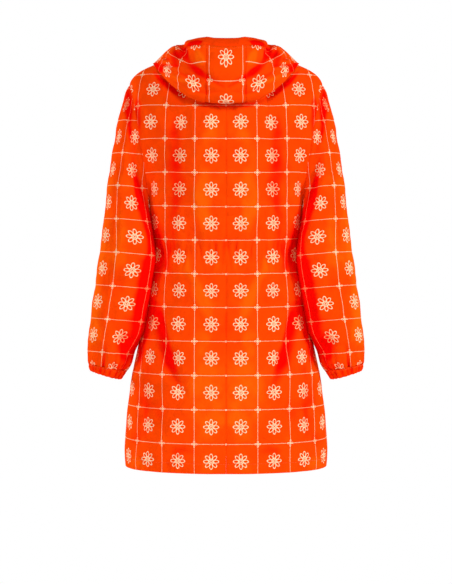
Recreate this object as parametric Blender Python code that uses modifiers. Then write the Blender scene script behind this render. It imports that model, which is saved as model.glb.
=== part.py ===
"""Long hooded raincoat in light printed nylon, hollow, as it hangs when it is worn with the hood down.

Metres, +Z up. The front faces -Y and the back faces +Y, so +X is the wearer's left.
The origin is the middle of the neck opening, level with the neck ends of the shoulder seams.
Every cloth piece is a thin wall: an outer skin worked out from the coat's sizes, and an inner skin
one cloth thickness in. Pieces stay a hair apart at their seams.
"""
import math
from collections import namedtuple

import bmesh
import bpy
import numpy as np
from mathutils import Vector
from mathutils.bvhtree import BVHTree

# ---- Driving sizes ---------------------------------------------------------------------------

COLLECTION_NAME = "long_raincoat"
CLOTH = 0.0015              # cloth wall
SEAM_GAP = 0.0003           # between two pieces at a seam
HEM_HEIGHT = -0.924
UNDERARM_HEIGHT = -0.340
WAIST_HEIGHT = -0.445
NECK_SIDE = 0.085           # from the centre to the neck end of the shoulder seam
NECK_BACK_DEPTH = 0.070
NECK_BACK_DROP = 0.020
NECK_FRONT_DEPTH = 0.085
NECK_FRONT_DROP = 0.080
SHOULDER_HALF = 0.2175      # from the centre to the sleeve end of the shoulder seam
SHOULDER_DROP = 0.070
SECTION_ROUNDNESS = 2.25    # 2 is an ellipse, more is boxier

BACK_COLUMNS = 18
FRONT_COLUMNS = 12
NECK_SHARE = 0.39           # share of a panel's columns that end at the neck
ARMHOLE_ROWS = 10           # rows of a panel along the armhole, so the sleeve has twice as many columns

# ---- Tables ----------------------------------------------------------------------------------

Section = namedtuple("Section", "height half_width back_depth front_depth")
BODY_SECTIONS = (
    Section(-0.940, 0.2255, 0.166, 0.150),
    Section(-0.880, 0.2280, 0.164, 0.149),
    Section(-0.830, 0.2245, 0.161, 0.146),
    Section(-0.770, 0.2180, 0.156, 0.141),
    Section(-0.720, 0.2105, 0.151, 0.136),
    Section(-0.675, 0.2015, 0.146, 0.131),
    Section(-0.620, 0.1905, 0.138, 0.125),
    Section(-0.560, 0.1800, 0.128, 0.118),
    Section(-0.500, 0.1695, 0.115, 0.109),
    Section(-0.445, 0.1635, 0.107, 0.103),
    Section(-0.400, 0.1680, 0.112, 0.107),
    Section(-0.340, 0.1720, 0.121, 0.114),
)

BACK_HEIGHTS = (-0.908, -0.865, -0.820, -0.775, -0.730, -0.685, -0.640, -0.595, -0.550, -0.510,
                -0.480, -0.461, -0.445, -0.429, -0.405, -0.375)
FRONT_HEIGHTS = (-0.908, -0.850, -0.790, -0.730, -0.670, -0.610, -0.550, -0.500,
                 -0.467, -0.445, -0.423, -0.385)

# Above the underarm each column of a panel is a Bezier curve up to the neck or the shoulder seam.
# "rise" is its first handle, seen from the underarm row, and "reach" its second, seen from the top.
Column = namedtuple("Column", "across rise_x rise_y rise_z reach_x reach_y reach_z")
BACK_SHAPE = (
    Column(0.00, 0.000, 0.018, 0.115, 0.000, 0.046, -0.070),
    Column(0.40, 0.000, 0.018, 0.110, 0.004, 0.078, -0.018),
    Column(0.75, -0.012, 0.026, 0.100, 0.004, 0.078, -0.008),
    Column(0.92, -0.014, 0.052, 0.052, -0.010, 0.075, -0.030),
    Column(1.00, -0.001, 0.072, 0.024, -0.022, 0.062, -0.062),
)
FRONT_SHAPE = (
    Column(0.00, 0.000, -0.016, 0.100, 0.000, -0.030, -0.060),
    Column(0.40, 0.000, -0.016, 0.100, 0.004, -0.072, -0.020),
    Column(0.75, -0.012, -0.024, 0.095, 0.004, -0.072, -0.010),
    Column(0.92, -0.014, -0.048, 0.052, -0.010, -0.068, -0.032),
    Column(1.00, -0.001, -0.066, 0.024, -0.022, -0.056, -0.064),
)

# A fold is a soft trough (or, with a negative depth, a ridge) on a curve of three points seen from behind.
Fold = namedtuple("Fold", "top_x top_z middle_x middle_z bottom_x bottom_z depth spread")
BACK_FOLDS = (
    Fold(0.152, -0.560, 0.134, -0.650, 0.096, -0.745, 0.012, 0.017),
    Fold(0.108, -0.150, 0.102, -0.250, 0.112, -0.350, 0.006, 0.020),
    Fold(0.190, -0.665, 0.186, -0.760, 0.190, -0.850, 0.006, 0.016),
    Fold(0.068, -0.285, 0.060, -0.340, 0.042, -0.420, -0.004, 0.022),
    Fold(0.060, -0.860, 0.062, -0.900, 0.064, -0.940, 0.004, 0.030),
)
FRONT_FOLDS = (
    Fold(0.140, -0.540, 0.128, -0.660, 0.112, -0.800, 0.010, 0.020),
    Fold(0.118, -0.180, 0.108, -0.270, 0.112, -0.360, 0.005, 0.022),
    Fold(0.062, -0.600, 0.066, -0.760, 0.068, -0.940, 0.006, 0.024),
)

GATHER_DEPTH = 0.0032       # of the gathers on the drawn-in waist
GATHER_REACH = 0.026        # how far above and below the waist they run out

Ring = namedtuple("Ring", "centre_x centre_y centre_z half_width half_depth lean")
SLEEVE_RINGS = (
    Ring(0.2218, 0.018, -0.397, 0.0536, 0.0680, 6.0),
    Ring(0.2212, 0.027, -0.451, 0.0595, 0.0660, 6.5),
    Ring(0.2295, 0.034, -0.506, 0.0606, 0.0640, 8.0),
    Ring(0.2378, 0.038, -0.560, 0.0595, 0.0615, 8.5),
    Ring(0.2466, 0.038, -0.615, 0.0575, 0.0580, 9.0),
    Ring(0.2570, 0.034, -0.665, 0.0532, 0.0530, 9.5),
    Ring(0.2602, 0.031, -0.688, 0.0500, 0.0480, 10.0),
    Ring(0.2637, 0.028, -0.703, 0.0446, 0.0420, 11.0),
)
CUFF_RINGS = (
    Ring(0.2638, 0.028, -0.7034, 0.0444, 0.0418, 11.0),
    Ring(0.2668, 0.027, -0.7125, 0.0412, 0.0385, 13.0),
    Ring(0.2684, 0.026, -0.7220, 0.0362, 0.0345, 15.5),
)
SLEEVE_HANDLE = 0.085       # how far the cloth runs out from the armhole before it turns down
CUFF_GATHER_DEPTH = 0.0022

# The hood lies down: each rib runs from the neck seam out and down, round the roll and back up to
# the rim. "out" is away from the neck and "up" is from the seam, at the back, the side and the front.
Rib = namedtuple("Rib", "back_out back_up side_out side_up front_out front_up")
HOOD_RIB = (
    Rib(0.000, 0.000, 0.000, 0.000, 0.000, 0.000),
    Rib(0.012, 0.014, 0.010, 0.011, 0.002, 0.004),
    Rib(0.036, 0.002, 0.026, 0.005, 0.004, 0.008),
    Rib(0.050, -0.044, 0.044, -0.002, 0.006, 0.012),
    Rib(0.059, -0.084, 0.058, -0.012, 0.008, 0.016),
    Rib(0.067, -0.105, 0.071, -0.024, 0.010, 0.020),
    Rib(0.080, -0.102, 0.078, -0.026, 0.011, 0.024),
    Rib(0.090, -0.082, 0.071, -0.016, 0.011, 0.027),
    Rib(0.092, -0.050, 0.058, -0.005, 0.010, 0.030),
    Rib(0.086, -0.014, 0.043, 0.008, 0.009, 0.033),
    Rib(0.068, 0.018, 0.028, 0.016, 0.008, 0.035),
    Rib(0.054, 0.032, 0.018, 0.018, 0.008, 0.036),
    Rib(0.040, 0.041, 0.009, 0.019, 0.007, 0.037),
)
HOOD_LOWER_ROWS = 7         # rows of HOOD_RIB that may lie on the shoulders
HOOD_REST_GAP = 0.006
RIM_START = 10              # the row of HOOD_RIB where the hem of the hood opening begins
GUSSET_HALF = 0.0425        # half the width of the hood's centre panel
GUSSET_COLUMNS = 4
HOOD_BACK_COLUMNS = 7
HOOD_FRONT_COLUMNS = 9
VALLEY_ROW = 7.5            # the crease that sags from one side of the hood to the other: its row at the
VALLEY_CLIMB = 6.0          # centre back, the rows it climbs by the side, and how deep and wide it is
VALLEY_DEPTH = 0.012
VALLEY_SPREAD = 0.85
HOOD_FRONT_END = 0.001      # each side of the hood stops this far from the centre front

PLACKET_HALF = 0.026
PLACKET_COLUMNS = 2
STUD_COUNT = 6
STUD_RADIUS = 0.0065
STUD_HEIGHT = 0.0030
STUD_SIDES = 16
STUD_EDGE = 0.0010
STUD_TOP = -0.135
STUD_BOTTOM = -0.780

# ---- Materials -------------------------------------------------------------------------------


def make_material(name, colour, roughness, metallic):
    """A plain Principled finish."""
    material = bpy.data.materials.new(name)
    material.use_nodes = True
    shader = material.node_tree.nodes["Principled BSDF"]
    shader.inputs["Base Color"].default_value = (*colour, 1.0)
    shader.inputs["Roughness"].default_value = roughness
    shader.inputs["Metallic"].default_value = metallic
    return material


# ---- Curves and sections ---------------------------------------------------------------------


def read_table(table, key):
    """The table's other columns at one value of its first column, on a smooth curve through its rows."""
    rows = np.array(table, dtype=float)
    keys = rows[:, 0]
    slopes = np.gradient(rows[:, 1:], keys, axis=0)
    low = int(np.clip(np.searchsorted(keys, key) - 1, 0, len(keys) - 2))
    span = keys[low + 1] - keys[low]
    along = (key - keys[low]) / span
    start_weight = 2 * along**3 - 3 * along**2 + 1
    start_slope = (along**3 - 2 * along**2 + along) * span
    end_slope = (along**3 - along**2) * span
    return (start_weight * rows[low, 1:] + (1 - start_weight) * rows[low + 1, 1:]
            + start_slope * slopes[low] + end_slope * slopes[low + 1])


def bezier(start, first, second, end, along):
    """A point, or a list of points, on a cubic Bezier curve."""
    along = np.asarray(along, dtype=float)[..., None]
    back = 1 - along
    return (back**3 * start + 3 * back**2 * along * first
            + 3 * back * along**2 * second + along**3 * end)


def even_points(points, count):
    """The given number of steps of equal length along a line of points."""
    points = np.asarray(points)
    steps = np.linalg.norm(np.diff(points, axis=0), axis=1)
    lengths = np.concatenate(([0.0], np.cumsum(steps)))
    wanted = np.linspace(0.0, lengths[-1], count + 1)
    return np.stack([np.interp(wanted, lengths, points[:, axis]) for axis in range(points.shape[1])], axis=1)


def split_points(points, columns, strip_columns):
    """Steps along a line of points: a few inside the placket's half width, and even steps after it."""
    widths = np.linspace(0.0, PLACKET_HALF, strip_columns + 1)[:-1]
    strip = np.stack([np.interp(widths, points[:, 0], points[:, axis]) for axis in range(points.shape[1])], axis=1)
    edge = np.array([[np.interp(PLACKET_HALF, points[:, 0], points[:, axis]) for axis in range(points.shape[1])]])
    rest = np.concatenate([edge, points[points[:, 0] > PLACKET_HALF]])
    return np.concatenate([strip, even_points(rest, columns - strip_columns)])


def quarter_section(half_width, depth, columns, strip_columns):
    """A quarter of the body's outline at one height, from the centre seam to the side seam."""
    turn = np.linspace(0.0, math.pi / 2, 181)
    power = 2.0 / SECTION_ROUNDNESS
    outline = np.stack([half_width * np.sin(turn)**power, depth * np.cos(turn)**power], axis=1)
    if strip_columns:
        return split_points(outline, columns, strip_columns)
    return even_points(outline, columns)


def fold_push(folds, x, z):
    """How far the folds push a point of a panel in, seen from behind."""
    push = 0.0
    along = np.linspace(0.0, 1.0, 41)
    for fold in folds:
        middle_x = 2 * fold.middle_x - (fold.top_x + fold.bottom_x) / 2
        middle_z = 2 * fold.middle_z - (fold.top_z + fold.bottom_z) / 2
        curve_x = (1 - along)**2 * fold.top_x + 2 * along * (1 - along) * middle_x + along**2 * fold.bottom_x
        curve_z = (1 - along)**2 * fold.top_z + 2 * along * (1 - along) * middle_z + along**2 * fold.bottom_z
        reach = fold.spread * (0.35 + 0.65 * np.sin(math.pi * along))
        push += fold.depth * np.max(np.exp(-((x - curve_x)**2 + (z - curve_z)**2) / reach**2)
                                    * np.sin(math.pi * along)**0.5)
    return push


def grid_normals(grid, closed=False):
    """Unit normals of a grid of points, across its columns and up its rows."""
    if closed:
        across = np.roll(grid, -1, axis=1) - np.roll(grid, 1, axis=1)
    else:
        across = np.gradient(grid, axis=1)
    normals = np.cross(across, np.gradient(grid, axis=0))
    return normals / np.linalg.norm(normals, axis=2, keepdims=True)


def unit(vectors):
    return vectors / np.linalg.norm(vectors, axis=-1, keepdims=True)


# ---- Cloth wall ------------------------------------------------------------------------------


def cloth_wall(name, outer, normals, material, closed=False, thickness=CLOTH):
    """A closed body between an outer skin and an inner skin. The grid is rows by columns."""
    inner = outer - normals * thickness
    rows, columns = outer.shape[:2]
    mesh = bpy.data.meshes.new(name)
    body = bmesh.new()
    skins = [[[body.verts.new(point) for point in row] for row in skin] for skin in (outer, inner)]
    last_column = columns if closed else columns - 1
    for row in range(rows - 1):
        for column in range(last_column):
            beside = (column + 1) % columns
            for skin in skins:
                body.faces.new((skin[row][column], skin[row][beside], skin[row + 1][beside], skin[row + 1][column]))
    for row in (0, rows - 1):
        for column in range(last_column):
            beside = (column + 1) % columns
            body.faces.new((skins[0][row][column], skins[0][row][beside], skins[1][row][beside], skins[1][row][column]))
    if not closed:
        for column in (0, columns - 1):
            for row in range(rows - 1):
                body.faces.new((skins[0][row][column], skins[0][row + 1][column],
                                skins[1][row + 1][column], skins[1][row][column]))
    bmesh.ops.recalc_face_normals(body, faces=body.faces)
    body.to_mesh(mesh)
    body.free()
    mesh.materials.append(material)
    mesh.shade_smooth()
    piece = bpy.data.objects.new(name, mesh)
    bpy.data.collections[COLLECTION_NAME].objects.link(piece)
    return piece


def mirrored(grid):
    """The same grid on the other side of the coat."""
    return grid * np.array([-1.0, 1.0, 1.0])


def both_sides(grid):
    """A half grid that starts at the centre, carried across to the other side."""
    return np.concatenate([mirrored(grid[:, :0:-1]), grid], axis=1)


# ---- Body panels -----------------------------------------------------------------------------


def neck_curve(depth, drop, along):
    """The neck seam from the centre to the neck end of the shoulder seam."""
    centre = np.array([0.0, depth, -drop])
    side = np.array([NECK_SIDE, 0.0, 0.0])
    return bezier(centre, centre + [NECK_SIDE * 0.58, 0.0, 0.0], side + [0.0, depth * 0.50, -drop * 0.22], side, along)


def shoulder_curve(along):
    """The shoulder seam from the neck to the sleeve, with a round end."""
    start = np.array([NECK_SIDE, 0.0, 0.0])
    end = np.array([SHOULDER_HALF, 0.0, -SHOULDER_DROP])
    return bezier(start, np.array([0.135, 0.0, -0.021]), np.array([0.209, 0.0, -0.032]), end, along)


def top_edge(depth, drop, columns, strip_columns):
    """The neck seam and the shoulder seam of one panel, with the corner on a column."""
    neck_columns = round(columns * NECK_SHARE)
    along = np.linspace(0.0, 1.0, 121)
    neck = neck_curve(depth, drop, along)
    if strip_columns:
        neck = split_points(neck, neck_columns, strip_columns)
    else:
        neck = even_points(neck, neck_columns)
    shoulder = even_points(shoulder_curve(along), columns - neck_columns)
    return np.concatenate([neck, shoulder[1:]])


def panel_grid(is_back, columns, heights, folds):
    """One half of the back or the front, on the wearer's left, from the hem up to its top edge."""
    facing = 1.0 if is_back else -1.0
    strip_columns = 0 if is_back else PLACKET_COLUMNS
    rows = []
    for height in (HEM_HEIGHT, *heights, UNDERARM_HEIGHT):
        half_width, back_depth, front_depth = read_table(BODY_SECTIONS, height)
        flat = quarter_section(half_width, back_depth if is_back else front_depth, columns, strip_columns)
        rows.append(np.column_stack([flat[:, 0], flat[:, 1] * facing, np.full(columns + 1, height)]))
    underarm = rows[-1]
    neck_depth = NECK_BACK_DEPTH if is_back else NECK_FRONT_DEPTH
    top = top_edge(neck_depth * facing, NECK_BACK_DROP if is_back else NECK_FRONT_DROP, columns,
                   strip_columns)
    shape = BACK_SHAPE if is_back else FRONT_SHAPE
    handles = [read_table(shape, (column if column > strip_columns else 0) / columns)
               for column in range(columns + 1)]
    for step in range(1, ARMHOLE_ROWS + 1):
        along = step / ARMHOLE_ROWS
        rows.append(np.array([bezier(low, low + handle[:3], high + handle[3:], high, along)
                              for low, high, handle in zip(underarm, top, handles)]))
    grid = np.array(rows)
    normals = panel_normals(grid, facing)
    grid = grid - normals * panel_relief(grid, facing, columns, folds)[..., None]
    normals = panel_normals(grid, facing)
    return grid + np.array([SEAM_GAP / 2, SEAM_GAP / 2 * facing, 0.0]), normals


def panel_relief(grid, facing, columns, folds):
    """How far the folds and the waist's gathers push each point in. Side seams and the placket stay plain."""
    relief = np.zeros(grid.shape[:2])
    for row in range(grid.shape[0]):
        for column in range(columns + 1):
            x, _, z = grid[row, column]
            edge = min(1.0, (columns - column) / 3)
            gather = GATHER_DEPTH * math.exp(-((z - WAIST_HEIGHT) / GATHER_REACH)**2) * (column % 2)
            if facing < 0:
                gather *= column > PLACKET_COLUMNS
            relief[row, column] = (fold_push(folds, x, z) + gather) * edge
    relief[-1, :] = 0.0
    return relief


def panel_normals(grid, facing):
    """Outward normals that agree with the neighbour's along the centre, side and shoulder seams."""
    normals = grid_normals(grid) * -facing
    side_rows = grid.shape[0] - ARMHOLE_ROWS
    normals[:, 0, 0] = 0.0
    normals[:side_rows - 1, -1, 1] = 0.0
    on_shoulder = np.abs(grid[-1, :, 1]) < SEAM_GAP
    normals[-1, on_shoulder, 1] = 0.0
    return unit(normals)


# ---- Sleeves ---------------------------------------------------------------------------------


def ring_points(ring, columns, ripple=0.0):
    """The points of one ring of a sleeve: outside, back, inside, front."""
    turn = np.arange(columns) * 2 * math.pi / columns
    lean = math.radians(ring.lean)
    across = (1 - ripple * (np.arange(columns) % 2) / ring.half_width) * ring.half_width * np.cos(turn)
    deep = (1 - ripple * (np.arange(columns) % 2) / ring.half_depth) * ring.half_depth * np.sin(turn)
    return np.column_stack([ring.centre_x + across * math.cos(lean), ring.centre_y + deep,
                            ring.centre_z + across * math.sin(lean)])


def armhole_ring(back, back_normals, front, front_normals):
    """The armhole's points and normals, from the shoulder down the back edge and up the front edge."""
    back_edge = back[-ARMHOLE_ROWS - 1:, -1][::-1]
    front_edge = front[-ARMHOLE_ROWS - 1:, -1]
    points = np.concatenate([back_edge, front_edge[1:-1]])
    normals = np.concatenate([back_normals[-ARMHOLE_ROWS - 1:, -1][::-1], front_normals[-ARMHOLE_ROWS - 1:, -1][1:-1]])
    for seam in (0, ARMHOLE_ROWS):
        points[seam, 1] = 0.0
        normals[seam, 1] = 0.0
    return points, unit(normals)


def sleeve_grid(armhole, armhole_normals):
    """The sleeve's outer skin from the armhole to the casing, and its normals."""
    columns = len(armhole)
    along_edge = np.roll(armhole, -1, axis=0) - np.roll(armhole, 1, axis=0)
    turn = np.arange(columns) * 2 * math.pi / columns
    share = np.clip((np.cos(turn) + 0.8) / 0.5, 0.0, 1.0)[:, None]
    outward = unit(unit(np.cross(along_edge, armhole_normals)) * share + np.array([1.0, 0.0, 0.0]) * (1 - share))
    start = armhole + outward * SEAM_GAP
    first = ring_points(SLEEVE_RINGS[0], columns)
    second = ring_points(SLEEVE_RINGS[1], columns)
    shoulder_share = ((1 + np.cos(turn)) / 2)[:, None]
    drop = unit(first - second)
    head = unit(outward + np.array([0.55, 0.0, -0.35])) * (0.012 + SLEEVE_HANDLE * 0.45 * shoulder_share)
    tail = drop * (0.012 + 0.085 * shoulder_share)
    rows = [bezier(start, start + head, first + tail, first, np.full(columns, along))
            for along in (0.0, 0.14, 0.30, 0.48, 0.66, 0.84)]
    rows += [ring_points(ring, columns, CUFF_GATHER_DEPTH * (index >= len(SLEEVE_RINGS) - 2))
             for index, ring in enumerate(SLEEVE_RINGS)]
    grid = np.array(rows)
    normals = -grid_normals(grid, closed=True)
    normals[0] = unit(armhole_normals * share + normals[0] * (1 - share))
    return grid, normals


def cuff_grid(columns):
    """The elastic casing at the wrist."""
    grid = np.array([ring_points(ring, columns, CUFF_GATHER_DEPTH) for ring in CUFF_RINGS])
    grid[0] -= unit(grid[0] - grid[1]) * SEAM_GAP
    return grid, -grid_normals(grid, closed=True)


# ---- Hood ------------------------------------------------------------------------------------


def hood_seam(back, front):
    """Points on the neck edge of the panels, from the centre back round to the centre front."""
    back_neck = back[-1, :round(BACK_COLUMNS * NECK_SHARE) + 1].copy()
    front_neck = front[-1, :round(FRONT_COLUMNS * NECK_SHARE) + 1][::-1].copy()
    back_neck[0, 0] = 0.0
    gusset_end = np.array([np.interp(GUSSET_HALF, back_neck[:, 0], back_neck[:, axis]) for axis in range(3)])
    gusset = np.concatenate([back_neck[back_neck[:, 0] < GUSSET_HALF], [gusset_end]])
    back_side = np.concatenate([[gusset_end], back_neck[back_neck[:, 0] > GUSSET_HALF]])
    front_end = np.array([np.interp(HOOD_FRONT_END, front_neck[::-1, 0], front_neck[::-1, axis]) for axis in range(3)])
    front_side = np.concatenate([front_neck[front_neck[:, 0] > HOOD_FRONT_END], [front_end]])
    return np.concatenate([even_points(gusset, GUSSET_COLUMNS // 2), even_points(back_side, HOOD_BACK_COLUMNS)[1:],
                           even_points(front_side, HOOD_FRONT_COLUMNS)[1:]])


def hood_rib(point, turn):
    """One rib of the hood on the seam point. The turn is 0 at the back, 1 at the side, 2 at the front."""
    ribs = np.array(HOOD_RIB)
    back_share = 0.5 + 0.5 * math.cos(math.pi * min(turn, 1.0))
    front_share = 0.5 - 0.5 * math.cos(math.pi * max(turn - 1.0, 0.0))
    side_share = 1.0 - back_share - front_share
    out = ribs[:, 0] * back_share + ribs[:, 2] * side_share + ribs[:, 4] * front_share
    rise = ribs[:, 1] * back_share + ribs[:, 3] * side_share + ribs[:, 5] * front_share
    valley = np.arange(len(ribs)) - VALLEY_ROW - VALLEY_CLIMB * turn
    press = VALLEY_DEPTH * np.exp(-(valley / VALLEY_SPREAD)**2) * max(0.0, 1.0 - turn**2)
    out = out - press * 0.8
    rise = rise - press * 0.6
    angle = turn * math.pi / 2
    way = np.array([math.sin(angle), math.cos(angle), 0.0])
    return point + out[:, None] * way + rise[:, None] * np.array([0.0, 0.0, 1.0])


def rest_on_shoulders(ribs, panels):
    """Lifts the lower layer of the hood to lie just clear of the panels under it."""
    corners = []
    faces = []
    for grid in panels:
        rows, columns = grid.shape[:2]
        first = len(corners)
        corners += [tuple(point) for point in grid.reshape(-1, 3)]
        faces += [(first + row * columns + column, first + row * columns + column + 1,
                   first + (row + 1) * columns + column + 1, first + (row + 1) * columns + column)
                  for row in range(rows - 1) for column in range(columns - 1)]
    surface = BVHTree.FromPolygons(corners, faces)
    for row in range(2, HOOD_LOWER_ROWS):
        for point in ribs[row]:
            hit = surface.ray_cast(Vector((point[0], point[1], 1.0)), Vector((0.0, 0.0, -1.0)))[0]
            if hit is not None:
                point[2] = max(point[2], hit.z + HOOD_REST_GAP)


def hood_grids(panels):
    """The ribs of the gusset's half and of one side, rows by columns, and their normals."""
    turns = np.concatenate([np.zeros(GUSSET_COLUMNS // 2), np.linspace(0.0, 1.0, HOOD_BACK_COLUMNS + 1),
                            1.0 + np.arange(1, HOOD_FRONT_COLUMNS + 1) / HOOD_FRONT_COLUMNS])
    whole = np.array([hood_rib(point, turn) for point, turn in zip(hood_seam(*panels), turns)]).transpose(1, 0, 2)
    whole[:, :, 2] += SEAM_GAP
    rest_on_shoulders(whole, panels)
    normals = -grid_normals(whole)
    normals[:, 0, 0] = 0.0
    return whole, unit(normals)


# ---- Placket and studs -----------------------------------------------------------------------


def placket_grid(front, front_normals):
    """A strip laid over the centre front, made from the points of the front and moved out."""
    strip = both_sides(front[:, :PLACKET_COLUMNS + 1])
    strip[:, PLACKET_COLUMNS, 0] = 0.0
    normals = both_sides(front_normals[:, :PLACKET_COLUMNS + 1])
    return strip + normals * (CLOTH + SEAM_GAP), normals


def make_stud(name, centre, normal, material):
    """A round press stud: a low disc with a rounded edge, its back on the placket."""
    mesh = bpy.data.meshes.new(name)
    body = bmesh.new()
    bmesh.ops.create_cone(body, cap_ends=True, segments=STUD_SIDES, radius1=STUD_RADIUS,
                          radius2=STUD_RADIUS, depth=STUD_HEIGHT)
    bmesh.ops.translate(body, verts=body.verts, vec=(0.0, 0.0, STUD_HEIGHT / 2))
    body.to_mesh(mesh)
    body.free()
    mesh.materials.append(material)
    stud = bpy.data.objects.new(name, mesh)
    stud.location = centre
    stud.rotation_mode = "QUATERNION"
    stud.rotation_quaternion = Vector(normal).to_track_quat("Z", "Y")
    rounding = stud.modifiers.new("rounded_edge", "BEVEL")
    rounding.width = STUD_EDGE
    rounding.segments = 2
    rounding.limit_method = "ANGLE"
    bpy.data.collections[COLLECTION_NAME].objects.link(stud)
    return stud


# ---- The coat --------------------------------------------------------------------------------


def make_pair(name, outer, normals, material, closed=False):
    """A piece on the wearer's left and its twin on the right."""
    cloth_wall(name + "_left", outer, normals, material, closed)
    cloth_wall(name + "_right", mirrored(outer), mirrored(normals), material, closed)


def make_body(nylon):
    """Back and front halves. Returns the grids that the sleeves, the placket and the hood start from."""
    back, back_normals = panel_grid(True, BACK_COLUMNS, BACK_HEIGHTS, BACK_FOLDS)
    front, front_normals = panel_grid(False, FRONT_COLUMNS, FRONT_HEIGHTS, FRONT_FOLDS)
    make_pair("back", back, back_normals, nylon)
    make_pair("front", front, front_normals, nylon)
    armhole = armhole_ring(back, back_normals, front, front_normals)
    return armhole, placket_grid(front, front_normals), (back, front)


def make_sleeves(armhole, armhole_normals, nylon, casing):
    sleeve, sleeve_normals = sleeve_grid(armhole, armhole_normals)
    make_pair("sleeve", sleeve, sleeve_normals, nylon, closed=True)
    cuff, cuff_normals = cuff_grid(len(armhole))
    make_pair("cuff", cuff, cuff_normals, casing, closed=True)


def make_hood(panels, nylon, casing):
    """The gusset, two sides and the hem of the opening, which runs over all three."""
    whole, normals = hood_grids(panels)
    middle = GUSSET_COLUMNS // 2
    gusset = whole[:RIM_START + 1, :middle + 1].copy()
    gusset[:, -1, 0] -= SEAM_GAP / 2
    gusset_normals = normals[:RIM_START + 1, :middle + 1]
    cloth_wall("hood_gusset", both_sides(gusset), both_sides(gusset_normals), nylon)
    side = whole[:RIM_START + 1, middle:].copy()
    side[:, 0, 0] += SEAM_GAP / 2
    make_pair("hood_side", side, normals[:RIM_START + 1, middle:], nylon)
    rim = whole[RIM_START:].copy()
    rim[0] += unit(rim[1] - rim[0]) * SEAM_GAP
    cloth_wall("hood_rim", both_sides(rim), both_sides(normals[RIM_START:]), casing)


def make_closure(placket, placket_normals, casing, steel):
    """The placket and the press studs down its middle."""
    cloth_wall("placket", placket, placket_normals, casing)
    line = placket[:, PLACKET_COLUMNS]
    line_normals = placket_normals[:, PLACKET_COLUMNS]
    for index, height in enumerate(np.linspace(STUD_TOP, STUD_BOTTOM, STUD_COUNT)):
        centre = np.array([np.interp(height, line[:, 2], line[:, axis]) for axis in range(3)])
        normal = unit(np.array([np.interp(height, line[:, 2], line_normals[:, axis]) for axis in range(3)]))
        make_stud(f"stud_{index + 1}", centre + normal * SEAM_GAP, normal, steel)


def main():
    for leftover in list(bpy.data.objects):
        bpy.data.objects.remove(leftover, do_unlink=True)
    collection = bpy.data.collections.new(COLLECTION_NAME)
    bpy.context.scene.collection.children.link(collection)
    nylon = make_material("printed_nylon", (0.92, 0.075, 0.006), 0.42, 0.0)
    casing = make_material("turned_nylon", (0.86, 0.065, 0.006), 0.46, 0.0)
    steel = make_material("stud_enamel", (0.85, 0.09, 0.012), 0.28, 0.0)
    armhole, placket, panels = make_body(nylon)
    make_sleeves(*armhole, nylon, casing)
    make_hood(panels, nylon, casing)
    make_closure(*placket, casing, steel)


main()
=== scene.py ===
"""The looks of a long hooded raincoat in light printed nylon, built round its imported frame.

Metres, +Z up. The front faces -Y and the back faces +Y, so +X is the wearer's left. Every cloth piece
is a thin shell on the form of its solid: the same sizes and curves on a finer grid, with the creases,
gathers, sunk seams and stitched casings added.
"""

import math
from collections import namedtuple

import bpy
import numpy as np
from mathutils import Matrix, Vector
from mathutils.bvhtree import BVHTree


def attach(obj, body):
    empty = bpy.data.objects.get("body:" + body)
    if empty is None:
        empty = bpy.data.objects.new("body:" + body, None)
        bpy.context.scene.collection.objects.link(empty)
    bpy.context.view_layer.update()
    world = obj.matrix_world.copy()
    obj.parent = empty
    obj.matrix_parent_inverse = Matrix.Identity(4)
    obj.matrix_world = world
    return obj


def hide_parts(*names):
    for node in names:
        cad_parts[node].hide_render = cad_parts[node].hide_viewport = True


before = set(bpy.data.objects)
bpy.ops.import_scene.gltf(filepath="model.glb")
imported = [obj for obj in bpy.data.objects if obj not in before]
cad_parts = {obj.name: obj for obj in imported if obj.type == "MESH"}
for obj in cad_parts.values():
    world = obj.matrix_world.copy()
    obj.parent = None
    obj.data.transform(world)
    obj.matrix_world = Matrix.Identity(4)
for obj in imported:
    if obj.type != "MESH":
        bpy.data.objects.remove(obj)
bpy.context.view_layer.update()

# ---- Driving sizes, the same as the solids' ------------------------------------------------------

SOLID_CLOTH = 0.0015
SEAM_GAP = 0.0003
HEM_HEIGHT = -0.924
UNDERARM_HEIGHT = -0.340
WAIST_HEIGHT = -0.445
NECK_SIDE = 0.085
NECK_BACK_DEPTH = 0.070
NECK_BACK_DROP = 0.020
NECK_FRONT_DEPTH = 0.085
NECK_FRONT_DROP = 0.080
SHOULDER_HALF = 0.2175
SHOULDER_DROP = 0.070
SECTION_ROUNDNESS = 2.25

# The panels' columns are the solids' own, each cut into PANEL_FINENESS finer ones
BACK_COLUMNS = 18
BACK_NECK_COLUMNS = 7
FRONT_COLUMNS = 12
FRONT_NECK_COLUMNS = 5
PLACKET_COLUMNS = 2
PANEL_FINENESS = 5
ARMHOLE_ROWS = 64
PANEL_ROW = 0.0036          # height of a row below the underarm
SLEEVE_HEAD_ROWS = 46
SLEEVE_TUBE_ROWS = 94
CUFF_ROWS = 22

CLOTH = 0.0010              # thickness of the shell
SHELL_GAP = 0.00006         # between two shells at a seam
SEAM_SINK = 0.0013          # how far a seamed edge turns in
SEAM_SPREAD = 0.0022
SIDE_SINK = 0.0003          # the same for the side seams and the sleeves' inner seams, which nearly touch

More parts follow.
